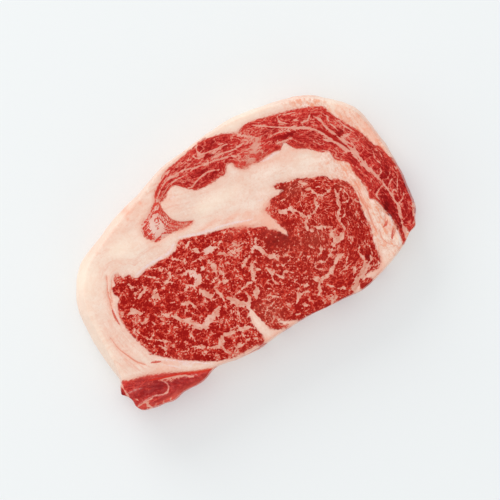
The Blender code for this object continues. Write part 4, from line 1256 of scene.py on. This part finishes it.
# %% [markdown]
# ## Where the meat meets the fat
# The edge of a muscle is ragged by a few tenths of a millimetre, and on the side of the steak
# the lean comes and goes, because the knife ran close to it. Silverskin lies over both, and
# its pale strokes also paint a few glints, a sheen and highlights. A thin veil of fat covers
# the side, paler where the lighter spots paint light.

# %% Lean over fat, silverskin and the veil
ragged = sway(grain, 2.0, 1.2) + (0.5 - fibre) * 0.7
wander = sway(tissue_place, 9.0, 7.5) * side * rise(z_place, 2.5, 7.0)
is_lean = rise((lean_in + wander + ragged * (1 + soft)) / (1 + soft), -0.6, 0.5)
strand_colour = blend(in_lip, tint(176, 32, 26), tint(212, 52, 38))
# The silverskin colour also paints the glints, the sheen and the highlights of those strokes.
silverskin_and_glint_colour = blend(is_lean, tint(242, 226, 228), tint(236, 178, 168))
silverskin_and_glint_speckle = rise(fat_grain, 0.38, 0.62) * 0.75 + 0.25
silverskin_and_glint_mask = rise(silverskin_and_glint_gap + (fine_noise - 0.5) * 1.2, 0.4, -0.4) * silverskin_and_glint_speckle
# The veil is paler where the lighter spots paint light on the left side and the lower edge.
veil_and_painted_light_colour = blend(bright_and_painted_light, tint(240, 205, 186), tint(255, 240, 220))
veil = side * (0.45 - 0.3 * is_lean) * (1 - 0.6 * least(blush_and_painted_light, 1.0))
surface = coats(
    fat_colour, (is_lean, meat_colour), (rise(strand_and_crease_shade_gap, 0.3, -0.4) * is_lean, strand_colour),
    (silverskin_and_glint_mask * (0.7 - 0.1 * is_lean), silverskin_and_glint_colour), (veil, veil_and_painted_light_colour))

# %% [markdown]
# ## Shine and grain of the surface
# Raw meat is moist, so it is fairly smooth, but a broad film of water would turn the red
# milky under soft light. The specular level is therefore kept low, and a bump of a fraction
# of a millimetre follows the fibres.

# %% Shine and grain
height = (1 - fibre) * is_lean * 0.7 + fine_noise * 0.3
relief = {"Strength": 0.5, "Distance": 0.5 * MM, "Height": height}
meat.plug(meat.shader, {"Base Color": surface, "Roughness": 0.32 + sway(tissue_place, 5.0, 0.2),
                        "Specular IOR Level": 0.06,
                        "Normal": meat.node("ShaderNodeBump", {}, relief, "Normal")})
skin_mesh.materials.append(meat.material)
print(len(meat.tree.nodes), "nodes in the meat")

# %% [markdown]
# ## The stage
# A pale floor that also lets some light through from below, as thin paper does, which keeps
# the shadow light and stops red bounced light from colouring it. The strongest lamp stands
# low on one side: a bright lamp overhead would be mirrored by the wet face into a camera that
# looks straight down.

# %% Floor
FLOOR_REACH, FLOOR_GAP = 3, 0.2 * MM
floor_corners = [(x * FLOOR_REACH, y * FLOOR_REACH, 0) for x, y in ((-1, -1), (1, -1), (1, 1), (-1, 1))]
floor_mesh = bpy.data.meshes.new("floor")
floor_mesh.from_pydata(floor_corners, [], [(0, 1, 2, 3)])
floor = bpy.data.objects.new("floor", floor_mesh)
floor.location.z = low[2] - FLOOR_GAP
bpy.context.scene.collection.objects.link(floor)
paper = Finish("pale_floor")
paper.plug(paper.shader, {"Base Color": (0.70, 0.706, 0.708, 1.0), "Roughness": 0.9,
                          "Emission Color": (0.19, 0.215, 0.22, 1.0), "Emission Strength": 1.0,
                          "Specular IOR Level": 0.0})
floor_mesh.materials.append(paper.material)
print("the floor is", 2 * FLOOR_REACH, "m wide")

# %% Lights
VIEW_ROLL = math.radians(31)
LAMP_DISTANCE, LAMP_SIZE, ROOM_LIGHT = 3.2, 2.0, 0.72
LAMPS = [("key", 121, 25, 38), ("overhead", 121, 80, 7.5), ("fill_low", 301, 25, 8),
         ("fill_left", 190, 25, 10)]


def soft_light(name, azimuth, elevation, power):
    """A square lamp on a sphere round the steak, aimed at it. Azimuth 90 is the top of the view."""
    turn, lift = math.radians(azimuth) - VIEW_ROLL, math.radians(elevation)
    lamp = bpy.data.lights.new(name, "AREA")
    lamp.size, lamp.energy = LAMP_SIZE, power
    holder = bpy.data.objects.new(name, lamp)
    aim = (math.cos(lift) * math.cos(turn), math.cos(lift) * math.sin(turn), math.sin(lift))
    holder.location = [LAMP_DISTANCE * part for part in aim]
    holder.rotation_euler = (math.pi / 2 - lift, 0, turn + math.pi / 2)
    bpy.context.scene.collection.objects.link(holder)


for lamp in LAMPS:
    soft_light(*lamp)
world = bpy.data.worlds.new("room")
world.use_nodes = True
background = world.node_tree.nodes["Background"]
background.inputs["Color"].default_value = (1, 1, 1, 1)
background.inputs["Strength"].default_value = ROOM_LIGHT
bpy.context.scene.world = world
bpy.context.scene.view_settings.view_transform = "Standard"
print(len(LAMPS), "lamps")

# %% [markdown]
# ## The camera
# It looks straight down from high up with a long lens, so the steak is drawn nearly without
# perspective, and it is rolled so that the steak lies at a slant.

# %% Camera
CAMERA_RISE, VIEW_WIDTH, VIEW_MIDDLE = 2.2, 0.2759, (0.0038, -0.0086)
camera_data = bpy.data.cameras.new("camera")
camera_data.lens = camera_data.sensor_width * CAMERA_RISE / VIEW_WIDTH
camera_data.clip_end = 20
camera = bpy.data.objects.new("camera", camera_data)
camera.location = (*VIEW_MIDDLE, high[2] + CAMERA_RISE)
camera.rotation_euler = (0, 0, -VIEW_ROLL)
bpy.context.scene.collection.objects.link(camera)
bpy.context.scene.camera = camera
print("lens", round(camera_data.lens), "mm")

# %% [markdown]
# ## Handing over
# The skin takes the place of the plain solid and rides on the one body that the steak has.

# %% Handing over
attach(skin, "root")
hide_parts("steak")
